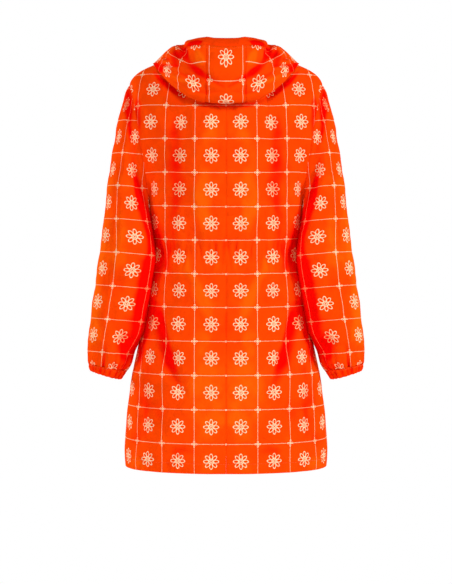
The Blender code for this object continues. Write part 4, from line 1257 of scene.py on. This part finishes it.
def stitch_tree(thread):
    """A Geometry Nodes tree that sews even stitches along the edges of a mesh."""
    tree = bpy.data.node_groups.new("stitch_row", "GeometryNodeTree")
    face = tree.interface
    face.new_socket("Geometry", in_out="INPUT", socket_type="NodeSocketGeometry")
    for label, length in STITCH_SIZES.items():
        face.new_socket(label, in_out="INPUT", socket_type="NodeSocketFloat").default_value = length
    face.new_socket("Geometry", in_out="OUTPUT", socket_type="NodeSocketGeometry")
    nodes, link = tree.nodes, tree.links.new
    given = nodes.new("NodeGroupInput")
    result = nodes.new("NodeGroupOutput")
    to_curve = nodes.new("GeometryNodeMeshToCurve")
    link(given.outputs["Geometry"], to_curve.inputs["Mesh"])
    spaced = nodes.new("GeometryNodeResampleCurve")
    spaced.mode = "LENGTH"
    link(to_curve.outputs["Curve"], spaced.inputs["Curve"])
    link(given.outputs["Pitch"], spaced.inputs["Length"])
    tangent = nodes.new("GeometryNodeInputTangent")
    outward = nodes.new("GeometryNodeInputNamedAttribute")
    outward.data_type = "FLOAT_VECTOR"
    outward.inputs["Name"].default_value = "outward"
    along = nodes.new("FunctionNodeAlignRotationToVector")
    along.axis = "X"
    link(tangent.outputs["Tangent"], along.inputs["Vector"])
    upright = nodes.new("FunctionNodeAlignRotationToVector")
    upright.axis = "Z"
    upright.pivot_axis = "X"
    link(along.outputs["Rotation"], upright.inputs["Rotation"])
    link(outward.outputs["Attribute"], upright.inputs["Vector"])
    bead = nodes.new("GeometryNodeMeshUVSphere")
    bead.inputs["Segments"].default_value = 6
    bead.inputs["Rings"].default_value = 4
    bead.inputs["Radius"].default_value = 0.5
    turned = nodes.new("GeometryNodeTransform")
    turned.inputs["Rotation"].default_value = (0.0, math.pi / 2, 0.0)
    link(bead.outputs["Mesh"], turned.inputs["Geometry"])
    size = nodes.new("ShaderNodeCombineXYZ")
    link(given.outputs["Stitch Length"], size.inputs["X"])
    link(given.outputs["Thread Width"], size.inputs["Y"])
    link(given.outputs["Thread Width"], size.inputs["Z"])
    placed = nodes.new("GeometryNodeInstanceOnPoints")
    link(spaced.outputs["Curve"], placed.inputs["Points"])
    link(turned.outputs["Geometry"], placed.inputs["Instance"])
    link(upright.outputs["Rotation"], placed.inputs["Rotation"])
    link(size.outputs["Vector"], placed.inputs["Scale"])
    real = nodes.new("GeometryNodeRealizeInstances")
    link(placed.outputs["Instances"], real.inputs["Geometry"])
    coloured = nodes.new("GeometryNodeSetMaterial")
    coloured.inputs["Material"].default_value = thread
    link(real.outputs["Geometry"], coloured.inputs["Geometry"])
    link(coloured.outputs["Geometry"], result.inputs["Geometry"])
    return tree


def sew(name, lines, tree):
    """Stitches along lines of points with outward normals, as one plain mesh."""
    corners = []
    outward = []
    edges = []
    for points, normals, is_ring in lines:
        first = len(corners)
        corners += points.tolist()
        outward += normals.tolist()
        edges += [(first + step, first + step + 1) for step in range(len(points) - 1)]
        if is_ring:
            edges.append((first + len(points) - 1, first))
    mesh = bpy.data.meshes.new(name + "_lines")
    mesh.from_pydata(corners, edges, [])
    attribute = mesh.attributes.new("outward", "FLOAT_VECTOR", "POINT")
    attribute.data.foreach_set("vector", np.array(outward, dtype=np.float32).ravel())
    mesh.update()
    rows = bpy.data.objects.new(name + "_lines", mesh)
    COLLECTION.objects.link(rows)
    sewn = rows.modifiers.new("stitches", "NODES")
    sewn.node_group = tree
    for item in tree.interface.items_tree:
        if item.item_type == "SOCKET" and item.in_out == "INPUT" and item.name in STITCH_SIZES:
            sewn[item.identifier] = STITCH_SIZES[item.name]
    bpy.context.view_layer.update()
    finished = bpy.data.meshes.new_from_object(rows.evaluated_get(bpy.context.evaluated_depsgraph_get()))
    finished.name = name
    finished.shade_smooth()
    rows.modifiers.remove(sewn)
    bpy.data.objects.remove(rows, do_unlink=True)
    stitches = bpy.data.objects.new(name, finished)
    COLLECTION.objects.link(stitches)
    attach(stitches, ROOT)


def stitch_line(points, normals, drop=0, is_ring=False):
    """A row of the cloth's points as a stitch line, without the first and last few, which it drops."""
    kept = slice(drop, len(points) - drop)
    return (points + normals * THREAD_RISE)[kept], normals[kept], is_ring


def mirrored_line(line):
    """The same stitch line on the other side."""
    return mirrored(line[0]), mirrored(line[1]), line[2]


def hem_lines(made):
    """One line round the hem for each panel, at the stitches' height."""
    lines = []
    for panel in made.values():
        heights = panel["smooth"][:, 0, 2]
        row = int(np.argmin(np.abs(heights - HEM_HEIGHT - HEM_STITCH)))
        line = stitch_line(panel["grid"][row], panel["normals"][row], 1)
        lines += [line, mirrored_line(line)]
    return lines


def at_stitches(rows, from_edge):
    """Points or normals of each row, read off at the placket's stitches."""
    return np.array([[np.interp(PLACKET_STITCH, inward, values[:, axis]) for axis in range(3)]
                     for inward, values in zip(from_edge, rows)])


def placket_lines(grid, normals, from_edge):
    """Two lines down the placket, a little in from its edges."""
    lines = []
    columns = np.arange(grid.shape[1])
    for half in (columns[:len(columns) // 2], columns[::-1][:len(columns) // 2]):
        points, outward = (at_stitches(values[:, half], from_edge[:, half]) for values in (grid, normals))
        lines.append(stitch_line(points, unit(outward), 2))
    return lines


# ---- Materials -----------------------------------------------------------------------------------


def group_tree(name, inputs, outputs):
    """A shader node group with named sockets."""
    tree = bpy.data.node_groups.new(name, "ShaderNodeTree")
    for label, kind, value in inputs:
        socket = tree.interface.new_socket(label, in_out="INPUT", socket_type=kind)
        if value is not None:
            socket.default_value = value
    for label, kind in outputs:
        tree.interface.new_socket(label, in_out="OUTPUT", socket_type=kind)
    return tree, tree.nodes.new("NodeGroupInput"), tree.nodes.new("NodeGroupOutput")


def put(target, value, link):
    """Sets a socket to a number, or joins it to another socket."""
    if hasattr(value, "is_linked"):
        link(value, target)
    else:
        target.default_value = value


def maths(tree, operation, first, second=None):
    """The result of an operation on one or two values."""
    node = tree.nodes.new("ShaderNodeMath")
    node.operation = operation
    put(node.inputs[0], first, tree.links.new)
    if second is not None:
        put(node.inputs[1], second, tree.links.new)
    return node.outputs[0]


def slant(tree, apart_x, apart_y):
    """The straight distance made by two distances at right angles."""
    squares = [maths(tree, "MULTIPLY", apart, apart) for apart in (apart_x, apart_y)]
    return maths(tree, "SQRT", maths(tree, "ADD", squares[0], squares[1]))


def vectors(tree, operation, first, second=None):
    """The result of an operation on one or two vectors."""
    node = tree.nodes.new("ShaderNodeVectorMath")
    node.operation = operation
    put(node.inputs[0], first, tree.links.new)
    if second is not None:
        put(node.inputs[1], second, tree.links.new)
    return node.outputs["Value" if operation == "LENGTH" else "Vector"]


def ramp(tree, value, low, high, at_low=0.0, at_high=1.0):
    """A soft step from one number to another while a value goes from low to high."""
    node = tree.nodes.new("ShaderNodeMapRange")
    node.interpolation_type = "SMOOTHSTEP"
    put(node.inputs["Value"], value, tree.links.new)
    for label, number in (("From Min", low), ("From Max", high), ("To Min", at_low), ("To Max", at_high)):
        put(node.inputs[label], number, tree.links.new)
    return node.outputs["Result"]


def blend(tree, share, first, second, method="MIX"):
    """A colour mixed from two others."""
    node = tree.nodes.new("ShaderNodeMix")
    node.data_type = "RGBA"
    node.blend_type = method
    put(node.inputs["Factor"], share, tree.links.new)
    put(node.inputs[6], first, tree.links.new)
    put(node.inputs[7], second, tree.links.new)
    return node.outputs[2]


def noise(tree, place, scale, detail, distortion=0.0):
    """A noise pattern of one size."""
    node = tree.nodes.new("ShaderNodeTexNoise")
    node.inputs["Scale"].default_value = scale
    node.inputs["Detail"].default_value = detail
    node.inputs["Distortion"].default_value = distortion
    tree.links.new(place, node.inputs["Vector"])
    return node.outputs[0]


PANE = 0.074                # side of one pane of the print
Flower = namedtuple("Flower", "reach petals line")
DAISY = Flower(0.0165, 8, 0.0011)
BUD = Flower(0.0070, 4, 0.0009)

# Sizes of a petal and of the eye, as shares of the flower's reach
PETAL_MIDDLE = 0.64
PETAL_HALF_LENGTH = 0.34
PETAL_HALF_WIDTH = 0.195
PETAL_LINE_SCALE = 0.25
EYE_RADIUS = 0.15


def flower_ring(tree, apart_x, apart_y, flower):
    """A mask of a simple flower in outline: a ring of egg-shaped petals round a small eye."""
    reach = flower.reach
    radius = slant(tree, apart_x, apart_y)
    angle = maths(tree, "ARCTAN2", apart_y, apart_x)
    folded = maths(tree, "PINGPONG", angle, math.pi / flower.petals)
    along = maths(tree, "MULTIPLY", radius, maths(tree, "COSINE", folded))
    across = maths(tree, "MULTIPLY", radius, maths(tree, "SINE", folded))
    from_middle = maths(tree, "SUBTRACT", along, reach * PETAL_MIDDLE)
    from_middle = maths(tree, "DIVIDE", from_middle, reach * PETAL_HALF_LENGTH)
    egg = slant(tree, from_middle, maths(tree, "DIVIDE", across, reach * PETAL_HALF_WIDTH))
    off_petal = maths(tree, "ABSOLUTE", maths(tree, "SUBTRACT", egg, 1.0))
    off_petal = maths(tree, "MULTIPLY", off_petal, reach * PETAL_LINE_SCALE)
    off_eye = maths(tree, "ABSOLUTE", maths(tree, "SUBTRACT", radius, reach * EYE_RADIUS))
    petal, eye = (ramp(tree, off_line, flower.line * 0.5, flower.line * 0.85, 1.0, 0.0)
                  for off_line in (off_petal, off_eye))
    return maths(tree, "MAXIMUM", petal, eye)


def print_group():
    """A thin windowpane with a daisy in every pane and a bud where its lines cross."""
    inputs = [("Flat Pattern", "NodeSocketVector", None), ("Pane", "NodeSocketFloat", PANE)]
    tree, given, result = group_tree("windowpane_daisies", inputs, [("Mask", "NodeSocketFloat")])
    place = tree.nodes.new("ShaderNodeSeparateXYZ")
    tree.links.new(given.outputs["Flat Pattern"], place.inputs["Vector"])
    pane = given.outputs["Pane"]
    from_line = []
    from_middle = []
    for axis in ("X", "Y"):
        share = maths(tree, "DIVIDE", place.outputs[axis], pane)
        to_line = maths(tree, "SUBTRACT", maths(tree, "FRACT", maths(tree, "ADD", share, 0.5)), 0.5)
        from_line.append(maths(tree, "MULTIPLY", to_line, pane))
        to_middle = maths(tree, "SUBTRACT", maths(tree, "FRACT", share), 0.5)
        from_middle.append(maths(tree, "MULTIPLY", to_middle, pane))
    beside, above = (maths(tree, "ABSOLUTE", apart) for apart in from_line)
    lines = ramp(tree, maths(tree, "MINIMUM", beside, above), 0.00035, 0.00065, 0.75, 0.0)
    from_crossing = slant(tree, from_line[0], from_line[1])
    lines = maths(tree, "MULTIPLY", lines, ramp(tree, from_crossing, 0.0085, 0.0090))
    daisy = flower_ring(tree, from_middle[0], from_middle[1], DAISY)
    bud = flower_ring(tree, from_line[0], from_line[1], BUD)
    mask = maths(tree, "MAXIMUM", maths(tree, "MAXIMUM", lines, daisy), bud)
    tree.links.new(mask, result.inputs["Mask"])
    return tree


def crinkle_group():
    """The fine unevenness of thin nylon: a height for the bump, and a slight change of colour and finish."""
    inputs = [("Place", "NodeSocketVector", None), ("Wrinkle Size", "NodeSocketFloat", 1.0)]
    outputs = [(label, "NodeSocketFloat") for label in ("Height", "Shade", "Roughness")]
    tree, given, result = group_tree("nylon_crinkle", inputs, outputs)
    scaled = vectors(tree, "SCALE", given.outputs["Place"])
    tree.links.new(given.outputs["Wrinkle Size"], scaled.node.inputs["Scale"])
    large = noise(tree, scaled, 24.0, 2.0, 0.6)
    fine = noise(tree, scaled, 95.0, 2.0, 0.8)
    weave = noise(tree, scaled, 900.0, 1.0)
    crumple = maths(tree, "ABSOLUTE", maths(tree, "SUBTRACT", large, 0.5))
    height = maths(tree, "ADD", maths(tree, "MULTIPLY", crumple, 1.5), maths(tree, "MULTIPLY", fine, 0.14))
    height = maths(tree, "ADD", height, maths(tree, "MULTIPLY", weave, 0.010))
    tree.links.new(height, result.inputs["Height"])
    tree.links.new(ramp(tree, large, 0.30, 0.70, 0.94, 1.05), result.inputs["Shade"])
    tree.links.new(ramp(tree, fine, 0.30, 0.70, 0.50, 0.60), result.inputs["Roughness"])
    return tree


# The second orange is painted shade for the hollows, the third a painted highlight for the ridges, and the
# second print colour painted shade on the print.
ORANGE = (0.940, 0.056, 0.0010, 1.0)
PAINTED_SHADE_ORANGE = (0.900, 0.0024, 0.0005, 1.0)
PAINTED_HIGHLIGHT_ORANGE = (0.960, 0.100, 0.0016, 1.0)
PRINT_CREAM = (0.950, 0.680, 0.420, 1.0)
PRINT_PAINTED_SHADE = (0.850, 0.300, 0.130, 1.0)
REVERSE = (0.800, 0.042, 0.0040, 1.0)
CASING = (0.930, 0.044, 0.0010, 1.0)
THREAD = (0.900, 0.120, 0.0200, 1.0)
ENAMEL = (0.820, 0.085, 0.0120, 1.0)


WHITE = (1.0, 1.0, 1.0, 1.0)
SHEEN_TINT = (1.0, 0.34, 0.03, 1.0)
PRINT_SHIFT = (0.0050, 0.0100, 0.0)
BUMP_STRENGTH = 0.75
BUMP_HEIGHT = 0.0055


def darker(colour, share):
    """A colour with its channels lowered to a share."""
    return tuple(channel * share for channel in colour[:3]) + (1.0,)


def new_material(name):
    """A material, its nodes, its shader and the place on the piece."""
    material = bpy.data.materials.new(name)
    material.use_nodes = True
    tree = material.node_tree
    place = tree.nodes.new("ShaderNodeTexCoord").outputs["Object"]
    return material, tree, tree.nodes["Principled BSDF"], place


def cloth_material(name, colour, painted_shade_colour, crinkle, printed=None):
    """Thin coated nylon, with shade painted in its hollows and a highlight painted on its ridges, and the
    print where it is asked for.
    """
    material, tree, shader, place = new_material(name)
    link = tree.links.new
    look = tree.nodes.new("ShaderNodeGroup")
    look.node_tree = crinkle
    link(place, look.inputs["Place"])
    painted_shading = tree.nodes.new("ShaderNodeAttribute")
    painted_shading.attribute_name = "painted_shading"
    # Painted shade towards the deep colour in the hollows, and painted highlight towards the bright orange
    # on the ridges
    depth = ramp(tree, painted_shading.outputs["Fac"], 0.02, 0.80)
    ridge = ramp(tree, painted_shading.outputs["Fac"], -0.50, -0.03, 1.0, 0.0)
    cloth = blend(tree, ridge, blend(tree, depth, colour, painted_shade_colour), PAINTED_HIGHLIGHT_ORANGE)
    if printed:
        flat = tree.nodes.new("ShaderNodeUVMap")
        flat.uv_map = "flat_pattern"
        pattern = tree.nodes.new("ShaderNodeGroup")
        pattern.node_tree = printed
        link(vectors(tree, "ADD", flat.outputs["UV"], PRINT_SHIFT), pattern.inputs["Flat Pattern"])
        cream = blend(tree, depth, PRINT_CREAM, PRINT_PAINTED_SHADE)
        cloth = blend(tree, pattern.outputs["Mask"], cloth, cream)
    shade = tree.nodes.new("ShaderNodeCombineColor")
    for channel in ("Red", "Green", "Blue"):
        link(look.outputs["Shade"], shade.inputs[channel])
    link(blend(tree, 1.0, cloth, shade.outputs["Color"], "MULTIPLY"), shader.inputs["Base Color"])
    link(look.outputs["Roughness"], shader.inputs["Roughness"])
    shader.inputs["Specular IOR Level"].default_value = 0.0
    # No sheen where shade is painted
    link(ramp(tree, painted_shading.outputs["Fac"], 0.02, 0.50, 0.12, 0.0), shader.inputs["Sheen Weight"])
    shader.inputs["Sheen Roughness"].default_value = 0.45
    shader.inputs["Sheen Tint"].default_value = SHEEN_TINT
    relief = tree.nodes.new("ShaderNodeBump")
    relief.inputs["Strength"].default_value = BUMP_STRENGTH
    relief.inputs["Distance"].default_value = BUMP_HEIGHT
    link(look.outputs["Height"], relief.inputs["Height"])
    link(relief.outputs["Normal"], shader.inputs["Normal"])
    return material


def plain_material(name, colour, roughness, scale, spread, specular=0.3):
    """One colour with a slight procedural unevenness."""
    material, tree, shader, place = new_material(name)
    patch = noise(tree, place, scale, 2.0)
    finish = ramp(tree, patch, 0.25, 0.75, roughness - 0.05, roughness + 0.05)
    tree.links.new(blend(tree, patch, darker(colour, 1.0 - spread), colour), shader.inputs["Base Color"])
    tree.links.new(finish, shader.inputs["Roughness"])
    shader.inputs["Specular IOR Level"].default_value = specular
    return material


# ---- Floor, lights and camera --------------------------------------------------------------------

CAMERA_FROM = Vector((0.0, 3.6, -0.45))
CAMERA_TO = Vector((0.0, 0.0, -0.5355))
PHOTO_PIXELS = 452
PIXEL_SIZE = 0.00225
SENSOR = 36.0
FLOOR_HEIGHT = -1.43
FLOOR_RADIUS = 1.12
FLOOR_COLOUR = (0.86, 0.86, 0.87, 1.0)
LIT_POINT = Vector((0.0, 0.0, -0.5))
WORLD_LIGHT = 0.14

Softbox = namedtuple("Softbox", "name place size power")
SOFTBOXES = (
    Softbox("back_softbox", (0.0, 3.0, 1.10), (0.8, 0.6), 54.0),
    Softbox("back_side_left", (2.6, 1.50, 0.10), (0.35, 1.0), 30.0),
    Softbox("back_side_right", (-2.6, 1.50, 0.30), (0.35, 1.0), 58.0),
    Softbox("front_softbox", (0.0, -3.2, 0.80), (0.8, 0.6), 50.0),
    Softbox("front_side_left", (2.5, -1.60, 0.20), (0.35, 1.0), 58.0),
    Softbox("front_side_right", (-2.5, -1.60, 0.10), (0.35, 1.0), 32.0),
)


def make_floor():
    """A pale round floor that glows more towards its edge, a painted light that fades it into the white
    room.
    """
    bpy.ops.mesh.primitive_circle_add(vertices=96, radius=FLOOR_RADIUS, fill_type="NGON",
                                      location=(0.0, 0.0, FLOOR_HEIGHT))
    floor = bpy.context.object
    floor.name = "floor"
    pale = plain_material("pale_floor", FLOOR_COLOUR, 0.65, 3.0, 0.02)
    tree = pale.node_tree
    place = tree.nodes.new("ShaderNodeTexCoord")
    away = vectors(tree, "LENGTH", place.outputs["Object"])
    shader = tree.nodes["Principled BSDF"]
    # Painted light: the floor glows, faintly at its middle and nearly white at its edge.
    shader.inputs["Emission Color"].default_value = WHITE
    tree.links.new(ramp(tree, away, 0.25, 1.05, 0.10, 0.90), shader.inputs["Emission Strength"])
    floor.data.materials.append(pale)


def hang_softbox(box):
    """A soft rectangular light that looks at the middle of the coat."""
    light = bpy.data.lights.new(box.name, "AREA")
    light.shape = "RECTANGLE"
    light.size, light.size_y = box.size
    light.energy = box.power
    lamp = bpy.data.objects.new(box.name, light)
    lamp.location = box.place
    lamp.rotation_mode = "QUATERNION"
    lamp.rotation_quaternion = (Vector(box.place) - LIT_POINT).to_track_quat("Z", "Y")
    bpy.context.scene.collection.objects.link(lamp)


def make_lights():
    """The softboxes, and a white room that lights the coat only a little."""
    for box in SOFTBOXES:
        hang_softbox(box)
    world = bpy.data.worlds.new("white_room")
    bpy.context.scene.world = world
    world.use_nodes = True
    nodes, link = world.node_tree.nodes, world.node_tree.links.new
    nodes.clear()
    path = nodes.new("ShaderNodeLightPath")
    mix = nodes.new("ShaderNodeMixShader")
    end = nodes.new("ShaderNodeOutputWorld")
    link(path.outputs["Is Camera Ray"], mix.inputs["Fac"])
    for place, strength in ((1, WORLD_LIGHT), (2, 1.0)):
        background = nodes.new("ShaderNodeBackground")
        background.inputs["Color"].default_value = WHITE
        background.inputs["Strength"].default_value = strength
        link(background.outputs["Background"], mix.inputs[place])
    link(mix.outputs["Shader"], end.inputs["Surface"])


def make_camera():
    """Looks at the middle of the back from a long way off, square on, as the photo does."""
    data = bpy.data.cameras.new("photo_camera")
    data.sensor_fit = "HORIZONTAL"
    data.sensor_width = SENSOR
    data.lens = SENSOR * (CAMERA_FROM - CAMERA_TO).length / (PHOTO_PIXELS * PIXEL_SIZE)
    camera = bpy.data.objects.new("photo_camera", data)
    camera.location = CAMERA_FROM
    camera.rotation_mode = "QUATERNION"
    camera.rotation_quaternion = (CAMERA_FROM - CAMERA_TO).to_track_quat("Z", "Y")
    bpy.context.scene.collection.objects.link(camera)
    bpy.context.scene.camera = camera
    bpy.context.scene.view_settings.view_transform = "Standard"
    bpy.context.scene.view_settings.look = "None"


# ---- The raincoat --------------------------------------------------------------------------------

Cut = namedtuple("Cut", "piece width length area held")


def main():
    """Makes the coat, its stitches and its setting."""
    crinkle = crinkle_group()
    # Each cloth's second colour is the shade painted in its hollows.
    reverse = cloth_material("nylon_reverse", REVERSE, darker(REVERSE, 0.8), crinkle)
    nylon = cloth_material("printed_nylon_cloth", ORANGE, PAINTED_SHADE_ORANGE, crinkle, print_group())
    casing = cloth_material("turned_nylon_cloth", CASING, PAINTED_SHADE_ORANGE, crinkle)
    thread = plain_material("sewing_thread", THREAD, 0.55, 300.0, 0.10)
    enamel = plain_material("stud_enamel_paint", ENAMEL, 0.28, 60.0, 0.06, 0.5)
    made = make_panels((nylon, reverse))
    cuff, cuff_normals = make_sleeves(made, (nylon, reverse), (casing, reverse))
    rim, rim_normals = make_hood(made, (nylon, reverse), (casing, reverse))
    placket, placket_normals, from_edge = make_placket(made, (casing, reverse))
    make_studs(enamel)
    tree = stitch_tree(thread)
    sew("hem_stitches", hem_lines(made), tree)
    sew("placket_stitches", placket_lines(placket, placket_normals, from_edge), tree)
    cuff_line = stitch_line(cuff, cuff_normals, is_ring=True)
    sew("cuff_stitches", [cuff_line, mirrored_line(cuff_line)], tree)
    sew("hood_stitches", [stitch_line(rim, rim_normals, 4)], tree)
    make_floor()
    make_lights()
    make_camera()


main()
